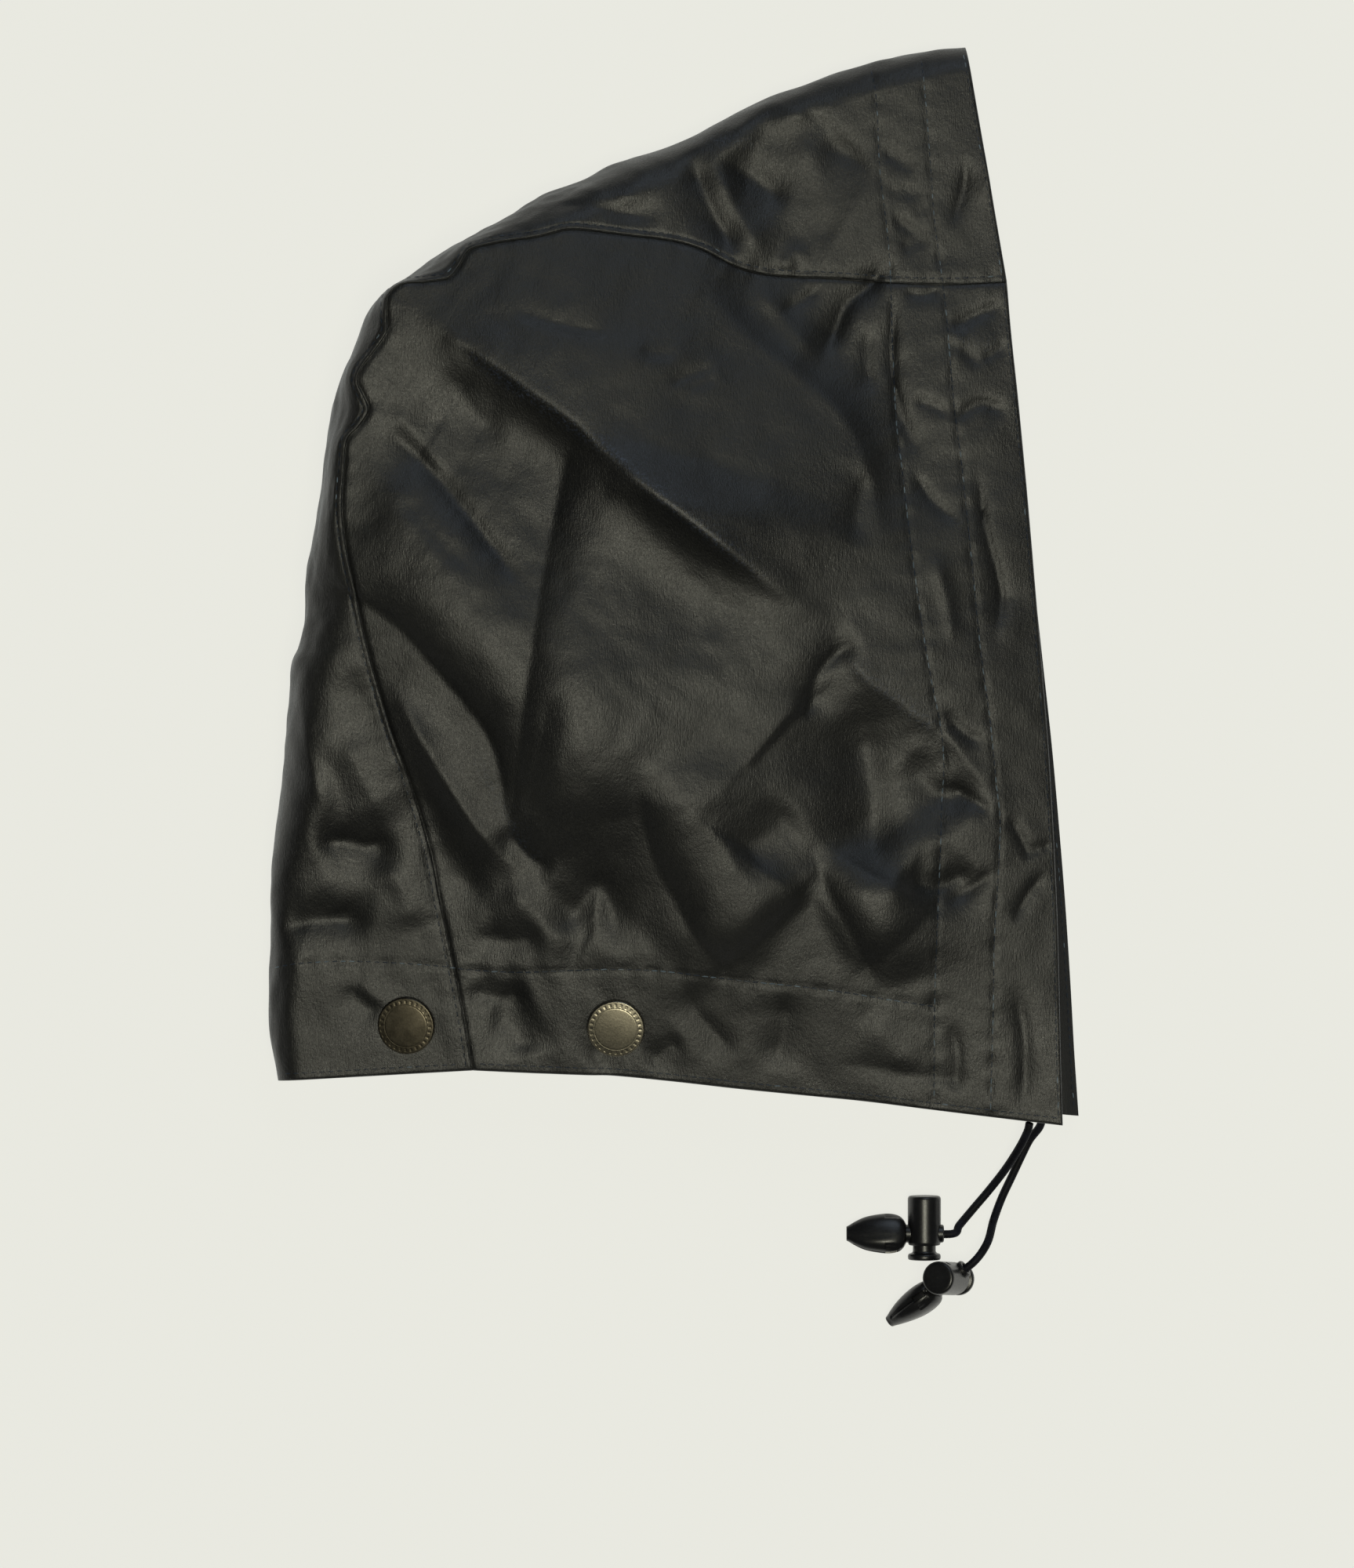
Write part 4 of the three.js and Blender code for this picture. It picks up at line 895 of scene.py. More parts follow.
def add_wear_and_highlight(obj, outer, first):
    """Paints the wear and the painted crest highlight onto a sheet's outer face, whose vertices start at the
    first one given.
    """
    pale_wear_and_highlight = wear_and_highlight_at(outer[..., 0], outer[..., 1]).ravel()
    values = np.zeros(len(obj.data.vertices), np.float32)
    values[first : first + len(pale_wear_and_highlight)] = pale_wear_and_highlight
    obj.data.attributes.new("wear", "FLOAT", "POINT").data.foreach_set("value", values)


def cloth_relief(x, y):
    return fold_relief(x, y) + band_relief(x, y) + ripples(x, y, LOOSE_CLOTH)


def edge_roll(inset, roll=0.9):
    """How far a folded edge rounds down within its last millimetre."""
    t = np.clip(1 - inset / roll, 0, 1)
    return roll * 0.8 * (1 - np.sqrt(np.maximum(0, 1 - t * t)))


# Sheets of cloth


def sheet(name, front, back, slot, node):
    """A closed sheet between two grids of points in millimetres, the first of which faces out."""
    points = np.concatenate([front.reshape(-1, 3), back.reshape(-1, 3)]) * MM
    f, b = np.arange(len(points)).reshape(2, *front.shape[:2])
    quads = [
        (f[:-1, :-1], f[1:, :-1], f[1:, 1:], f[:-1, 1:]),
        (b[:-1, :-1], b[:-1, 1:], b[1:, 1:], b[1:, :-1]),
        (f[:-1, 0], b[:-1, 0], b[1:, 0], f[1:, 0]),
        (f[:-1, -1], f[1:, -1], b[1:, -1], b[:-1, -1]),
        (f[0, :-1], f[0, 1:], b[0, 1:], b[0, :-1]),
        (f[-1, :-1], b[-1, :-1], b[-1, 1:], f[-1, 1:]),
    ]
    faces = np.concatenate([np.stack([corner.ravel() for corner in quad], 1) for quad in quads])
    return keep(mesh_object(name, points, faces), slot, node)


def flip(grid):
    return grid[:, ::-1]


# The panels' grid lines: fine by the seam, the sewn lines and the edges, as (length, step) spans.
ROW_WIDTH = 222.0
PANEL_HEIGHT = 250.0
EDGE_STEPS = [(0.3, 0.1), (0.9, 0.3), (2.4, 0.6)]
NEAR_SEAM_STEPS = [(1.5, 0.4), (4.5, 0.75)]
FAR_SEAM_STEPS = [(3, 1.0)]


def side_shares(total, seam, step, fine, fine_step):
    """Shares from the seam end (0) to the edge end (1), with the band `fine` wide by the edge finer."""
    middle = total - sum(length for length, _ in [*EDGE_STEPS, *seam]) - fine
    at = steps(*seam, (middle, step), (fine, fine_step), *EDGE_STEPS[::-1])
    return at / at[-1]


near_back = lambda v: near_seam_at(1 - v * (1 - CROWN))
near_top = lambda u: near_seam_at((1 - u) * CROWN)
far_back = lambda v: far_seam_at(1 - v * (1 - CROWN))
far_top = lambda u: far_seam_at((1 - u) * CROWN)


def near_sheet(u, v, relief=True):
    p = patch(near_back, near_face, near_neck, near_top, u, v)
    p[..., 2] += BULGE * 16 * u * (1 - u) * v * (1 - v)
    if relief:
        x, y = p[..., 0].copy(), p[..., 1].copy()
        p[..., 2] += cloth_relief(x, y) + seam_relief(x, y, False)
        p[..., 2] -= edge_roll((1 - u) * ROW_WIDTH) + edge_roll(v * PANEL_HEIGHT)
    return p


def far_sheet(u, v):
    p = patch(far_back, far_face, far_neck, far_top, u, v)
    p[..., 2] = far_lift(v)
    return p


FOLD_GIRTH = 90.0


def centre_sheet(s, q, depth, relief=True):
    """The centre panel: s along it from the face edge to the nape, q across from the near seam to the far."""
    near = q <= 0.5
    seam = np.where(near[..., None], near_seam_at(s), far_seam_at(s))
    fold = raised(fold_line(s), LOFT * nose_height(s))
    heading = fold[..., :2] - seam[..., :2]
    width = np.linalg.norm(heading, axis=-1)
    heading = heading / width[..., None]
    rise = seam[..., 2] - fold[..., 2]
    around = np.minimum(width, LOFT * nose_round(s))
    flat = width - around
    bend = math.pi / 4 * (around + np.abs(rise))
    turn_at = np.minimum(0.5, flat / (flat + bend))
    p = np.where(near, 2 * q, 2 - 2 * q)
    angle = np.maximum(0, p - turn_at) / (1 - turn_at) * math.pi / 2
    out = np.where(p < turn_at, flat * p / np.maximum(turn_at, 1e-6), flat + around * np.sin(angle))
    nx, nz = np.sin(angle) / around, np.cos(angle) / rise
    size = np.hypot(nx, nz)
    nx, nz = nx / size, nz / size
    w = out - depth * nx
    point = np.empty(s.shape + (3,))
    point[..., 0] = seam[..., 0] + heading[..., 0] * w
    point[..., 1] = seam[..., 1] + heading[..., 1] * w
    point[..., 2] = fold[..., 2] + rise * np.cos(angle) - depth * nz
    if relief:
        x = seam[..., 0] + heading[..., 0] * out
        y = seam[..., 1] + heading[..., 1] * out
        lift = cloth_relief(x, y) + seam_relief(x, y, True)
        inset = s * near_seam.length
        tail = (1 - s) * near_seam.length
        lift -= edge_roll(inset) + edge_roll(tail)
        point[..., 2] += np.where(near, lift * np.cos(angle) ** 0.7, 0)
        way_round = FOLD_GIRTH / 2 * np.where(near, p, 2 - p)
        soft = ripples(inset, way_round, ROUND_FOLD)
        pull = smoothstep(np.minimum(inset, tail), 0.5, 12)
        push = np.where(near, soft, -np.abs(soft)) * np.sin(angle) * pull
        point[..., :2] += heading * (nx * push)[..., None]
        point[..., 2] += nz * push
    return point


# Build the cloth

NEAR_STEP = 1.3
FAR_STEP = 3.0
FAR_EDGE_STEP = 2.0
# Finer spans along the edges, as (length, step).
FRONT_FINE = (40, 0.9)
NECK_FINE = (36, 1.05)
CENTRE_FRONT_FINE = (38, 0.9)
CENTRE_NECK_FINE = (34, 1.1)
# Columns over the folded centre panel, near and far, and how they crowd towards the fold.
NEAR_COLUMNS, NEAR_CROWDING = 59, 1.35
FAR_COLUMNS, FAR_CROWDING = 27, 1.1


def lowered(grid, depth):
    """A grid moved straight down by one depth, or by a depth for each of its points."""
    return grid - np.asarray(depth)[..., None] * [0, 0, 1]


near_u = side_shares(ROW_WIDTH, NEAR_SEAM_STEPS, NEAR_STEP, *FRONT_FINE)
near_v = 1 - side_shares(PANEL_HEIGHT, NEAR_SEAM_STEPS, NEAR_STEP, *NECK_FINE)[::-1]
u, v = np.meshgrid(near_u, near_v, indexing="ij")
near_top_face = near_sheet(u, v)
near_panel = sheet(
    "near_side_panel", near_top_face, lowered(near_top_face, CLOTH), "waxed_cotton", "side_panel_near"
)

far_u = side_shares(ROW_WIDTH, FAR_SEAM_STEPS, FAR_STEP, 10, FAR_EDGE_STEP)
far_v = 1 - side_shares(PANEL_HEIGHT, FAR_SEAM_STEPS, FAR_STEP, 10, FAR_EDGE_STEP)[::-1]
u, v = np.meshgrid(far_u, far_v, indexing="ij")
far_low = far_sheet(u, v)
far_ripple = FAR_RIPPLE * np.abs(ripples(far_low[..., 0], far_low[..., 1], FAR_CLOTH))
sheet("far_side_panel", lowered(far_low, -CLOTH - far_ripple), far_low, "waxed_cotton", "side_panel_far")

# The centre panel: fine at both ends and along its two bands, and round its fold on the near side.
seam_length = near_seam.length
end_length = sum(length for length, _ in EDGE_STEPS)
centre_middle = seam_length - CENTRE_FRONT_FINE[0] - CENTRE_NECK_FINE[0] - 2 * end_length
centre_spans = [CENTRE_FRONT_FINE, (centre_middle, NEAR_STEP), CENTRE_NECK_FINE]
centre_s = steps(*EDGE_STEPS, *centre_spans, *EDGE_STEPS[::-1])
centre_s = centre_s / centre_s[-1]
near_q = (np.linspace(0, 1, NEAR_COLUMNS) ** NEAR_CROWDING) / 2
far_q = 1 - (np.linspace(0, 1, FAR_COLUMNS)[::-1][1:]) ** FAR_CROWDING / 2
s, q = np.meshgrid(centre_s, np.concatenate([near_q, far_q]), indexing="ij")
centre_out = centre_sheet(s, q, 0.0)
centre_panel = sheet("centre_gusset", centre_sheet(s, q, CLOTH), centre_out, "waxed_cotton", "centre_panel")

add_wear_and_highlight(near_panel, near_top_face, 0)
add_wear_and_highlight(centre_panel, centre_out, centre_out[..., 0].size)

# Facings, which back the front band and the neck band and hold the cord's tunnel.
ply_depth = CLOTH + PLY_GAP
tunnel_depth = 2 * CORD_ROOM + 2 * CORD_RADIUS - PLY_GAP
cord_depth = CLOTH + CORD_ROOM + CORD_RADIUS
tunnel = Curve(
    (-1, 0), (0, 0), (2.6, 0.5), (5.25, 0.8), (10.5, 1), (15.75, 0.8), (18.5, 0.4), (21, 0), (45, 0)
)  # fmt: skip


def facing_depth(inset, ply):
    return ply_depth + tunnel_depth * tunnel(inset) + ply


def facing(name, node, outer, inner):
    sheet(name, outer, inner, "facing_cotton", node)


band_insets = steps((CASING_WIDTH, 1.5), (FRONT_BAND - CASING_WIDTH, 3.0))
v_lines = steps((PANEL_HEIGHT, 2.5)) / PANEL_HEIGHT
inset, v = np.meshgrid(band_insets, v_lines, indexing="ij")
u = 1 - inset / ROW_WIDTH
near_band, far_band = flip(near_sheet(u, v)), flip(far_sheet(u, v))
outer, inner = [flip(facing_depth(inset, ply)) for ply in (0, FACING)]
far_band_inside = lowered(far_band, -inner)
facing("near_casing", "casing_near", lowered(near_band, outer), lowered(near_band, inner))
facing("far_casing", "casing_far", far_band_inside, lowered(far_band, -outer))


def folded_facing(name, node, stations, columns, depth):
    """A facing inside the centre panel, at the stations along it, with its depth for each ply."""
    s, q = np.meshgrid(stations, np.linspace(0, 1, columns), indexing="ij")
    grids = [centre_sheet(s, q, depth(s * seam_length, ply), False) for ply in (FACING, 0)]
    facing(name, node, *grids)


folded_facing("top_casing", "casing_top", band_insets / seam_length, 60, facing_depth)

neck_insets = steps((NECK_BAND, 2.0))
neck_u = np.linspace(0.001, 1 - (FRONT_BAND + PLY_GAP) / ROW_WIDTH, 90)
u, v = np.meshgrid(neck_u, neck_insets / PANEL_HEIGHT, indexing="ij")
neck_near, neck_far = near_sheet(u, v), far_sheet(u, v)
outer, inner = ply_depth, ply_depth + FACING
facing("near_neck_facing", "neck_facing_near", lowered(neck_near, outer), lowered(neck_near, inner))
facing("far_neck_facing", "neck_facing_far", lowered(neck_far, -inner), lowered(neck_far, -outer))
neck_stations = 1 - neck_insets[::-1] / seam_length
folded_facing("back_neck_facing", "neck_facing_back", neck_stations, 70, lambda _, ply: ply_depth + ply)

# The length of cord inside the casing, along the near panel, over the top and back along the far panel.
CORD_INSET = 10.5
v_run = np.linspace(0.004, 1, 90)
u_run = np.full(v_run.shape, 1 - CORD_INSET / ROW_WIDTH)
near_run = near_sheet(u_run, v_run)
near_run[:, 2] -= cord_depth
q_run = np.linspace(0, 1, 24)[1:-1]
s_run = np.full(q_run.shape, CORD_INSET / near_seam.length)
top_run = centre_sheet(s_run, q_run, cord_depth, False)
far_run = far_sheet(u_run, v_run)[::-1]
far_run[:, 2] += cord_depth
hidden = Line(np.concatenate([near_run[::4], top_run[::3], far_run[::4]]), 6)
centre = hidden(np.linspace(0, 1, 380))
_, side, up = tube_frames(centre)
hidden_cord = tube(centre, side, up, full_turn(14), np.full((len(centre), 1), CORD_RADIUS))
keep(joined("cord_in_casing", [hidden_cord]), "braid", "drawcord_hidden")

# Sewing

STITCH_PITCH = 2.6
STITCH_LENGTH = 1.95
STITCH_RADIUS = 0.21
STITCH_SINK = 0.05
STITCH_RINGS = 7
STITCH_SIDES = 6
ABOVE_ALL = 120.0
SEAM_STITCH_IN = 1.75
FRONT_STITCH_IN = 1.3
HEM_STITCH_IN = 2.2


def surface(*grids):
    """Something to drop stitches on: the outer faces of sheets, in millimetres."""
    points, faces, first = [], [], 0
    for grid in grids:
        points.append(grid.reshape(-1, 3))
        faces += grid_faces(grid.shape[0], grid.shape[1], first)
        first += grid.shape[0] * grid.shape[1]
    return BVHTree.FromPolygons(np.concatenate(points).tolist(), faces)


def stitch_row(tree, line, seed):
    """Stitches along a line in plan, each a short thread that dives into the cloth at its ends."""
    draw = np.random.default_rng(seed)
    run = Line(line, 1)
    count = int(run.length / STITCH_PITCH)
    bow = np.linspace(-1, 1, STITCH_RINGS)
    out = []
    for k in range(count):
        mid = (k + 0.5) / count
        half = STITCH_LENGTH / run.length / 2 * (0.92 + 0.16 * draw.random())
        lean = (draw.random() - 0.5) * 0.16
        xy = run(np.linspace(mid - half, mid + half, STITCH_RINGS))
        ahead = xy[-1] - xy[0]
        ahead /= np.linalg.norm(ahead)
        across = np.array([-ahead[1], ahead[0]])
        xy = xy + np.outer(bow * lean, across)
        centre = []
        for x, y in xy:
            hit, normal, _, _ = tree.ray_cast((x, y, ABOVE_ALL), (0, 0, -1.0))
            if hit is None:
                break
            centre.append((hit, normal))
        if len(centre) < STITCH_RINGS:
            continue
        shape = np.sqrt(np.maximum(0, 1 - bow**2))
        up = np.array(centre[STITCH_RINGS // 2][1])
        rise = STITCH_RADIUS * (shape - 0.75) * 0.8 - STITCH_SINK
        top = np.array([c[0] for c in centre]) + np.outer(rise, up)
        forward = np.gradient(top, axis=0)
        forward /= np.linalg.norm(forward, axis=1)[:, None]
        side = np.cross(forward, up)
        side /= np.linalg.norm(side, axis=1)[:, None]
        lift = np.cross(side, forward)
        fat = STITCH_RADIUS * (0.35 + 0.65 * shape)[:, None]
        out.append((tube(top, side, lift, full_turn(STITCH_SIDES), fat, 0.9), draw.random()))
    return out


def offset(line, by):
    """A line in plan, moved to the right of its run."""
    ahead = np.gradient(line, axis=0)
    ahead /= np.linalg.norm(ahead, axis=1)[:, None]
    return line + by * np.stack([ahead[:, 1], -ahead[:, 0]], 1)


def clip(line, start, end):
    s = arc(line)
    return line[(s >= start) & (s <= s[-1] - end)]


upper = surface(near_top_face, centre_out)
seam_line = near_seam(np.linspace(0, 1, 400))
front_line = np.concatenate([near_face(np.linspace(0, 1, 200))[:, :2], centre_out[0, : len(near_q), :2]])
hem_line = near_neck(np.linspace(0, 1, 200))[:, :2]
back_hem_line = centre_out[-1, : len(near_q) - 6, :2][::-1]
far_line = far_face(np.linspace(0, 1, 200))[:, :2]
# The lower layer's edge shows inside the face opening and past the upper one.
lower = surface(flip(far_band_inside))
# Each row: its name, what it is sewn on, its line, and how much is left unsewn at its start and its end.
SEWN = [
    ("seam", upper, offset(seam_line, SEAM_STITCH_IN), 1, 1),
    ("inner", upper, stitch_paths[0], 1, 1),
    ("outer", upper, stitch_paths[1], 1, 1),
    ("neck", upper, stitch_paths[2], 1, 0),
    ("front", upper, offset(smooth_line(front_line[::6], 6), -FRONT_STITCH_IN), 2, 2),
    ("hem", upper, offset(hem_line, -HEM_STITCH_IN), 1, 1),
    ("back_hem", upper, offset(smooth_line(back_hem_line[::8], 6), -HEM_STITCH_IN), 1, 1),
    ("far_front", lower, offset(far_line, -FRONT_STITCH_IN), 2, 2),
]
FIRST_SEED = 31
rows = {}
for k, (name, cloth, line, start, end) in enumerate(SEWN):
    rows[name] = stitch_row(cloth, clip(line, start, end), FIRST_SEED + k)

# Thread that has kept its wax is paler, and the pale stitches also paint the glints where thread catches the
# light: so many of each row.
WAX_AND_GLINT_SHARE = {"neck": 0.30, "inner": 0.30, "outer": 0.30}
WAX_AND_GLINT_OTHERS = 0.05
dark_thread, pale_thread = [], []
for name, row in rows.items():
    for part, chance in row:
        (pale_thread if chance < WAX_AND_GLINT_SHARE.get(name, WAX_AND_GLINT_OTHERS) else dark_thread).append(part)
keep(joined("stitching", dark_thread), "braid")
keep(joined("stitching_pale", pale_thread), "braid")

# Snap fasteners

SNAPS = ("near_front", "near_back", "far_front", "far_back")
CAP_DOME = 0.34
CAP_DOME_RADIUS = 8.4
CAP_GROOVE_RADIUS = 6.65
CAP_RING = (6.9, 8.3)
CAP_NOTCHES = 28
CAP_RIM_WIDTH = 0.55
# The back of each cap from its rim inwards: radius and height.
CAP_BACK = ((CAP_RADIUS, 1.05), (8.95, 0.6), (8.6, 0.35), (7.5, 0.3))
POST_RADIUS = 2.0
POST_CHAMFER = 0.3
# How far the near caps lean in the soft cloth, in degrees about X and Y.
CAP_TILT = {"near_front": (-2.0, -2.0), "near_back": (-3.0, -9.0)}


def cap_height(radius, turn):
    """The cap's face: a slightly domed middle, a groove, a flat ring with plain notches, a rolled rim."""
    dome = CAP_DOME * (1 - (np.minimum(radius, CAP_DOME_RADIUS) / CAP_DOME_RADIUS) ** 2)
    groove = 0.03 * np.exp(-(((radius - CAP_GROOVE_RADIUS) / 0.16) ** 2))
    inner, outer = CAP_RING
    band = soft_box(radius - (inner + outer) / 2, (outer - inner) / 2 - 0.12, 0.15)
    notch = 0.05 * band * smoothstep(np.cos(turn * CAP_NOTCHES), 0.35, 0.7)
    rim = np.clip(1 + (radius - CAP_RADIUS) / CAP_RIM_WIDTH, 0, 1)
    roll = 0.75 * (1 - np.sqrt(np.maximum(0, 1 - rim**2)))
    return CAP_RISE - 0.36 + dome - groove - notch - roll


def snap_cap(name):
    """A cap and its post, set on the frame's solid for it and square to its socket."""
    corners = lambda obj: np.array([obj.matrix_world @ v.co for v in obj.data.vertices]) / MM
    solid, socket = [corners(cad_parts[f"snap_{part}_{name}"]) for part in ("cap", "socket")]
    centre = socket.mean(0)
    post_axis = np.linalg.svd(socket - centre)[2][2]
    if np.dot(solid.mean(0) - centre, post_axis) < 0:
        post_axis = -post_axis
    reach = (solid - centre) @ post_axis
    foot = centre + post_axis * (reach.max() - CAP_RISE)
    low_end = reach.min() - (reach.max() - CAP_RISE)
    about_x, about_y = CAP_TILT.get(name, (0, 0))
    lean = Matrix.Rotation(math.radians(about_y), 3, "Y") @ Matrix.Rotation(math.radians(-about_x), 3, "X")
    axis = np.array(lean @ Vector(post_axis))
    side = np.cross(axis, [0, 1.0, 0.2])
    side /= np.linalg.norm(side)
    other = np.cross(axis, side)
    turn = full_turn(224 if name.startswith("near") else 112)

    def ring(radius, height, turn, axis):
        flat = np.outer(radius * np.cos(turn), side) + np.outer(radius * np.sin(turn), other)
        return foot + flat + np.outer(height, axis)

    radii = steps((6.3, 0.35), (2.2, 0.1), (CAP_RADIUS - 8.5, 0.07))[1:]
    rings = [ring(r, cap_height(r, turn), turn, axis) for r in radii]
    rings += [ring(r, z, turn, axis) for r, z in CAP_BACK]
    points = np.concatenate([*rings, [foot + axis * (CAP_RISE - 0.02)]])
    apex, sides = len(points) - 1, len(turn)
    faces = grid_faces(len(rings), sides, 0, True)
    faces += [[apex, k, (k + 1) % sides][::-1] for k in range(sides)]
    faces.append([(len(rings) - 1) * sides + k for k in range(sides)])
    ends = ((POST_RADIUS, 0.45), (POST_RADIUS, low_end + POST_CHAMFER), (POST_RADIUS - POST_CHAMFER, low_end))
    post = [ring(r, z, turn[::8], post_axis) for r, z in ends]
    return joined("cap_" + name, [(points, faces), closed_rings(post)], 35)


for name in SNAPS:
    keep(snap_cap(name), "antique_brass", "snap_cap_" + name)

# Materials


class Finish:
    """A material, and the nodes that make it."""

    def __init__(self, name):
        self.material = bpy.data.materials.new(name)
        self.material.use_nodes = True
        self.tree = self.material.node_tree
        self.shader = self.tree.nodes["Principled BSDF"]
        self.coords = self.node("ShaderNodeTexCoord").outputs["Object"]

    def put(self, value, socket):
        """Links a socket's value on, or sets a plain one; a colour gets its alpha."""
        if hasattr(value, "links"):
            self.tree.links.new(value, socket)
        elif isinstance(value, tuple) and socket.type == "RGBA":
            socket.default_value = (*value, 1)
        else:
            socket.default_value = value

    def node(self, kind, inputs=(), **settings):
        """A node with its settings, and its inputs by name or number."""
        made = self.tree.nodes.new(kind)
        for key, value in settings.items():
            setattr(made, key, value)
        for key, value in dict(inputs).items():
            self.put(value, made.inputs[key])
        return made

    def noise(self, scale, detail, roughness=0.5):
        sizes = {"Vector": self.coords, "Scale": scale, "Detail": detail, "Roughness": roughness}
        return self.node("ShaderNodeTexNoise", sizes).outputs["Fac"]

    def grain(self, scale, stretch, turn):
        """Noise drawn out along one direction, as threads are."""
        sizes = {"Vector": self.coords, "Rotation": (0, 0, turn), "Scale": (scale, scale / stretch, scale)}
        threads = self.node("ShaderNodeMapping", sizes).outputs["Vector"]
        sizes = {"Vector": threads, "Scale": 1.0, "Detail": 2.0, "Roughness": 0.6}
        return self.node("ShaderNodeTexNoise", sizes).outputs["Fac"]

    def sum(self, a, b, operation="ADD"):
        return self.node("ShaderNodeMath", {0: a, 1: b}, operation=operation).outputs[0]

    def product(self, a, b):
        return self.sum(a, b, "MULTIPLY")

    def spread(self, value, lo, hi, to=(0.0, 1.0), clamp=True):
        """A value's range from lo to hi, stretched to another."""
        sizes = {"Value": value, "From Min": lo, "From Max": hi, "To Min": to[0], "To Max": to[1]}
        return self.node("ShaderNodeMapRange", sizes, clamp=clamp).outputs["Result"]

    def mix(self, share, a, b):
        return self.node("ShaderNodeMix", {"Factor": share, 6: a, 7: b}, data_type="RGBA").outputs[2]

    def bump(self, height, strength, depth, **normal):
        sizes = {"Height": height, "Strength": strength, "Distance": depth, **normal}
        return self.node("ShaderNodeBump", sizes).outputs["Normal"]

    def show(self, colour, roughness, normal):
        for name, value in (("Base Color", colour), ("Roughness", roughness), ("Normal", normal)):
            self.put(value, self.shader.inputs[name])
        return self.material


def waxed_cloth(name, dark, light, rough, pale_wear_and_highlight=None):
    """Waxed cotton: cloudy where the wax lies thick or thin, a fine weave, paler and bluer where rubbed and
    where a crest highlight is painted.
    """
    cloth = Finish(name)
    cloud = cloth.noise(26.0, 5.0, 0.62)
    speck = cloth.noise(1400.0, 3.0, 0.75)
    weave = cloth.sum(cloth.grain(2300.0, 5.0, 0.10), cloth.grain(2300.0, 5.0, 0.10 + math.pi / 2))
    fleck = cloth.product(speck, 0.9)
    share = cloth.sum(cloth.sum(cloud, fleck), cloth.product(weave, 0.6))
    colour = cloth.mix(cloth.spread(share, 1.15, 2.0), dark, light)
    # Rubbed crests: speckled wear, which also paints their highlight in a paler, bluer colour.
    if pale_wear_and_highlight:
        wear = cloth.node("ShaderNodeAttribute", attribute_name="wear").outputs["Fac"]
        dots = cloth.spread(cloth.noise(1100.0, 3.0, 0.7), 0.5, 0.68)
        colour = cloth.mix(cloth.product(wear, dots), colour, pale_wear_and_highlight)
    roughness = cloth.spread(cloth.sum(cloud, cloth.product(speck, 1.5)), 1.0, 1.5, rough, clamp=False)
    threads = cloth.bump(cloth.sum(weave, fleck), 0.75, 0.00011)
    crinkle = cloth.bump(cloth.noise(330.0, 5.0, 0.7), 0.3, 0.0005, Normal=threads)
    cloth.shader.inputs["Specular IOR Level"].default_value = 0.6
    cloth.shader.inputs["Sheen Weight"].default_value = 0.12
    cloth.shader.inputs["Sheen Roughness"].default_value = 0.3
    cloth.shader.inputs["Sheen Tint"].default_value = (0.72, 0.84, 1.0, 1)
    return cloth.show(colour, roughness, crinkle)


def plain(name, colour, rough, metallic=0.0, fine=1400.0, bump=0.15, depth=0.00005, spread=0.3):
    """A smooth material with its own cloudiness, grain and roughness."""
    finish = Finish(name)
    grit = finish.noise(fine, 4.0)
    lighter = tuple(c * (1 + spread) for c in colour)
    darker = tuple(c * (1 - spread) for c in colour)
    clouds = finish.mix(finish.spread(finish.noise(230.0, 3.0), 0.35, 0.68), darker, lighter)
    finish.shader.inputs["Metallic"].default_value = metallic
    roughness = finish.spread(grit, 0.0, 1.0, (rough - 0.08, rough + 0.12))
    return finish.show(clouds, roughness, finish.bump(grit, bump, depth))


WAX_DARK = (0.0028, 0.0029, 0.0030)
WAX_LIGHT = (0.0088, 0.0087, 0.0072)
# The pale blue of rubbed crests, which also stands in for their painted highlight.
WAX_WEAR_AND_HIGHLIGHT = (0.034, 0.044, 0.070)
waxed = waxed_cloth("waxed_cotton", WAX_DARK, WAX_LIGHT, (0.40, 0.52), WAX_WEAR_AND_HIGHLIGHT)
facing_cloth = waxed_cloth("facing_cotton", (0.004, 0.0042, 0.005), (0.009, 0.009, 0.009), (0.62, 0.75))
thread_blue = plain("thread", (0.010, 0.017, 0.030), 0.5)
# Pale thread: wax left on the thread, with painted glints.
thread_wax_and_glint = plain("pale_thread", (0.11, 0.145, 0.18), 0.45)
nylon = plain("black_nylon", (0.0080, 0.0080, 0.0090), 0.31, bump=0.1)
cord_mat = plain("braid", (0.0030, 0.0034, 0.0080), 0.6, fine=3200, bump=0.5, depth=0.0001, spread=0.6)
brass = plain("antique_brass", (0.25, 0.226, 0.172), 0.30, metallic=1.0, fine=1800, bump=0.25, spread=0.1)
cord_mat.node_tree.nodes["Principled BSDF"].inputs["Specular IOR Level"].default_value = 0.2
# A darker copy of the brass paints shade onto the caps by the back.
brass_painted_shade = plain(
    "antique_brass_dark", (0.108, 0.094, 0.068), 0.34, metallic=1.0, fine=1800, bump=0.3, spread=0.25
)

finishes = {
    "waxed_cotton": waxed, "facing_cotton": facing_cloth, "braid": cord_mat, "black_nylon": nylon,
    "antique_brass": brass,
}  # fmt: skip
for name, slot in piece_slots.items():
    pieces[name].data.materials.append(finishes[slot])
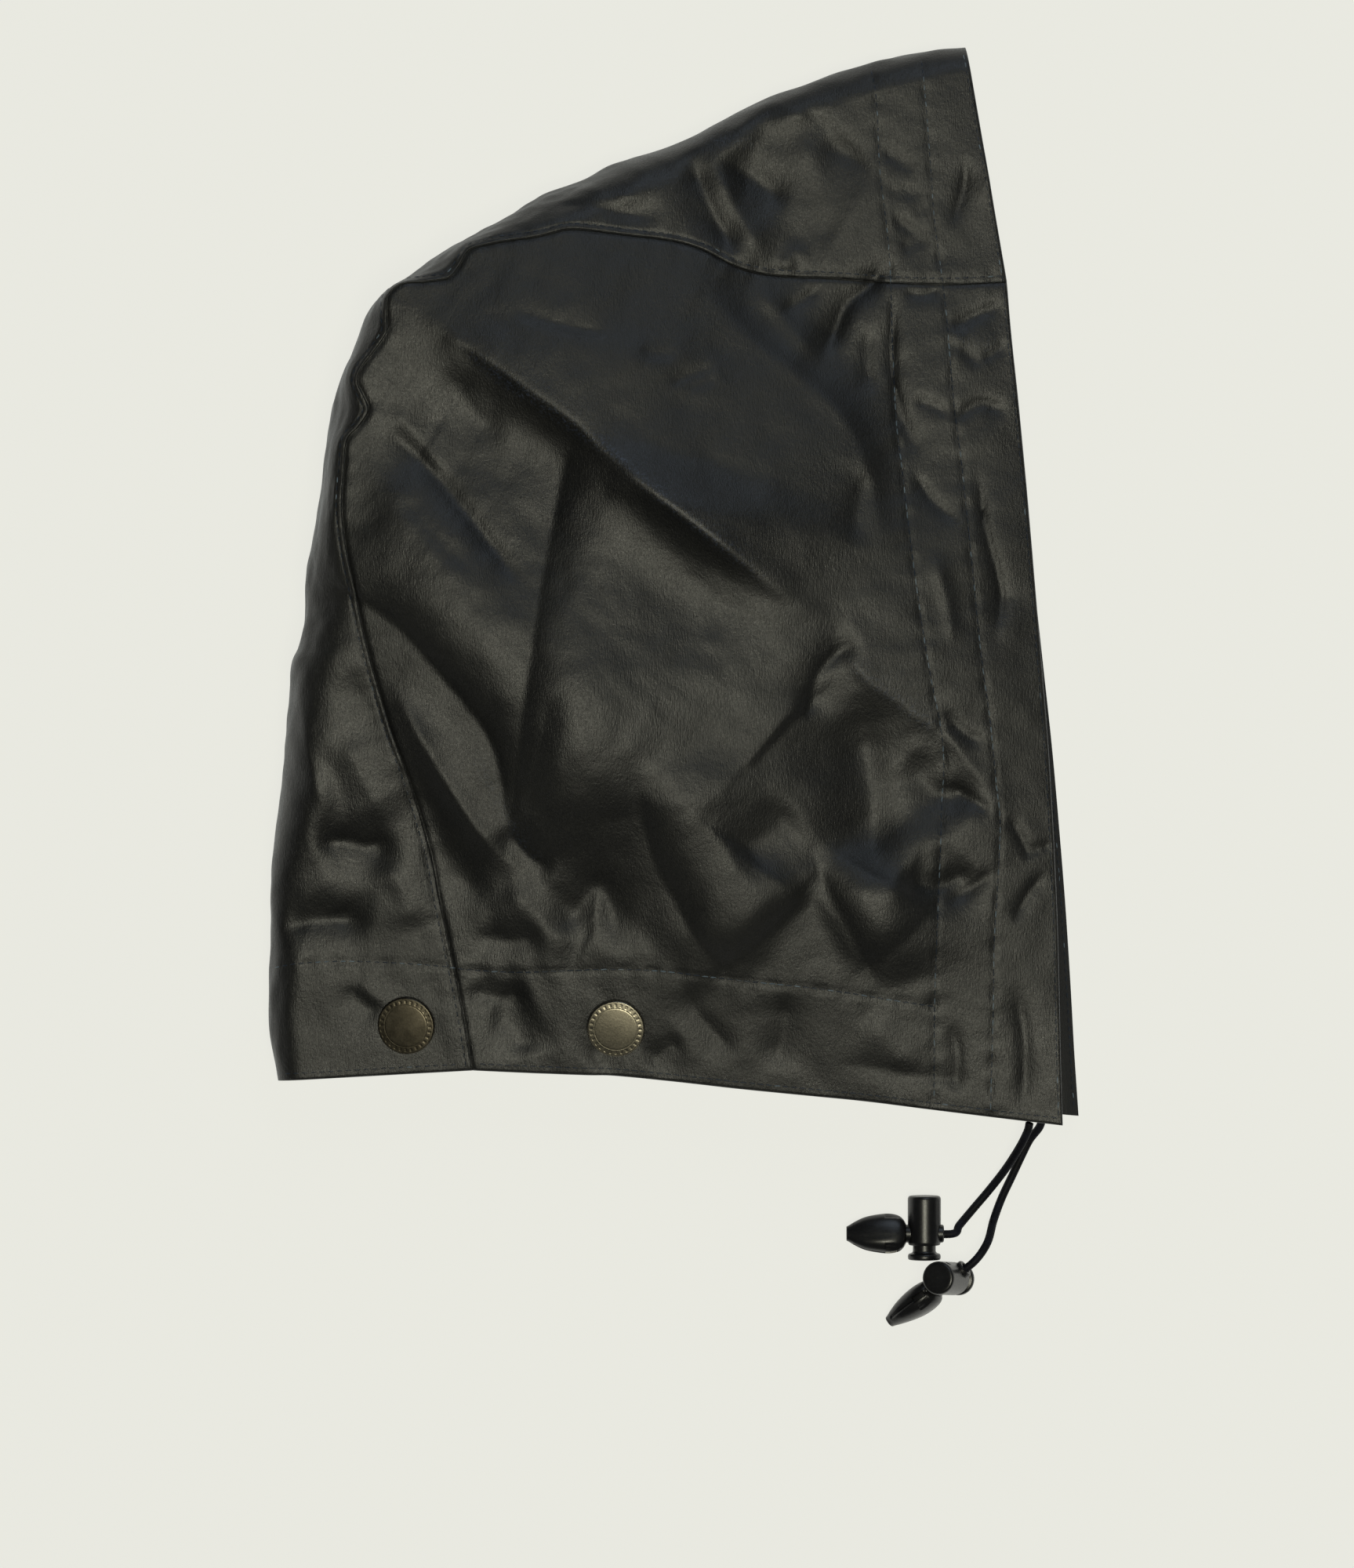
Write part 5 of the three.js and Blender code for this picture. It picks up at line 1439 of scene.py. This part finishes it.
# The caps by the back take the darker brass: painted shade.
for name in ("near_back", "far_back"):
    pieces["cap_" + name].data.materials[0] = brass_painted_shade
pieces["stitching"].data.materials[0] = thread_blue
pieces["stitching_pale"].data.materials[0] = thread_wax_and_glint
for name in SNAPS:
    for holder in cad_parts["snap_socket_" + name].material_slots:
        holder.material = brass

# Table and light

TABLE = 3.0
PAPER = (0.812, 0.812, 0.753)
GLOW = 0.885
GLARE = 0.06
mesh = bpy.data.meshes.new("table")
corners = [(x * TABLE, y * TABLE, 0) for x, y in ((-1, -1), (1, -1), (1, 1), (-1, 1))]
mesh.from_pydata(corners, [], [(0, 1, 2, 3)])
table = add_object("table", mesh)
# A lit table, as in product photographs: most of its light is its own, so shadows stay faint.
table_finish = Finish("table")
table_shader = table_finish.shader
table_shader.inputs["Base Color"].default_value = (*[c * (1 - GLOW) for c in PAPER], 1)
table_shader.inputs["Roughness"].default_value = 1.0
table_shader.inputs["Specular IOR Level"].default_value = 0.0
table_shader.inputs["Emission Color"].default_value = (*PAPER, 1)
table_shader.inputs["Emission Strength"].default_value = GLOW + GLARE
mesh.materials.append(table_finish.material)

LIT_PLACE = Vector((0, -0.02, 0.02))
SKY_COLOUR = (0.86, 0.93, 1.0, 1)
SKY_STRENGTH = 0.035


def area_light(name, azimuth, elevation, distance, half_angle, share, colour):
    """A round soft box that gives the table `share` of the light that makes paper look its own colour."""
    data = bpy.data.lights.new(name, "AREA")
    data.shape = "DISK"
    a, e = math.radians(azimuth), math.radians(elevation)
    radius = distance * math.tan(math.radians(half_angle))
    data.size = 2 * radius
    data.energy = share * math.pi**2 * distance**2 / math.sin(e)
    data.color = colour
    light = add_object(name, data)
    way = Vector((math.cos(e) * math.cos(a), math.cos(e) * math.sin(a), math.sin(e)))
    light.location = LIT_PLACE + distance * way
    light.rotation_euler = way.to_track_quat("Z", "Y").to_euler()


area_light("key", -65, 82, 3.0, 10, 0.43, (1.0, 0.975, 0.79))
area_light("fill", 75, 38, 3.0, 18, 0.10, (0.74, 0.86, 1.0))
world = bpy.data.worlds.new("world")
world.use_nodes = True
sky = world.node_tree.nodes["Background"].inputs
sky["Color"].default_value = SKY_COLOUR
sky["Strength"].default_value = SKY_STRENGTH
bpy.context.scene.world = world
bpy.context.scene.view_settings.view_transform = "Standard"
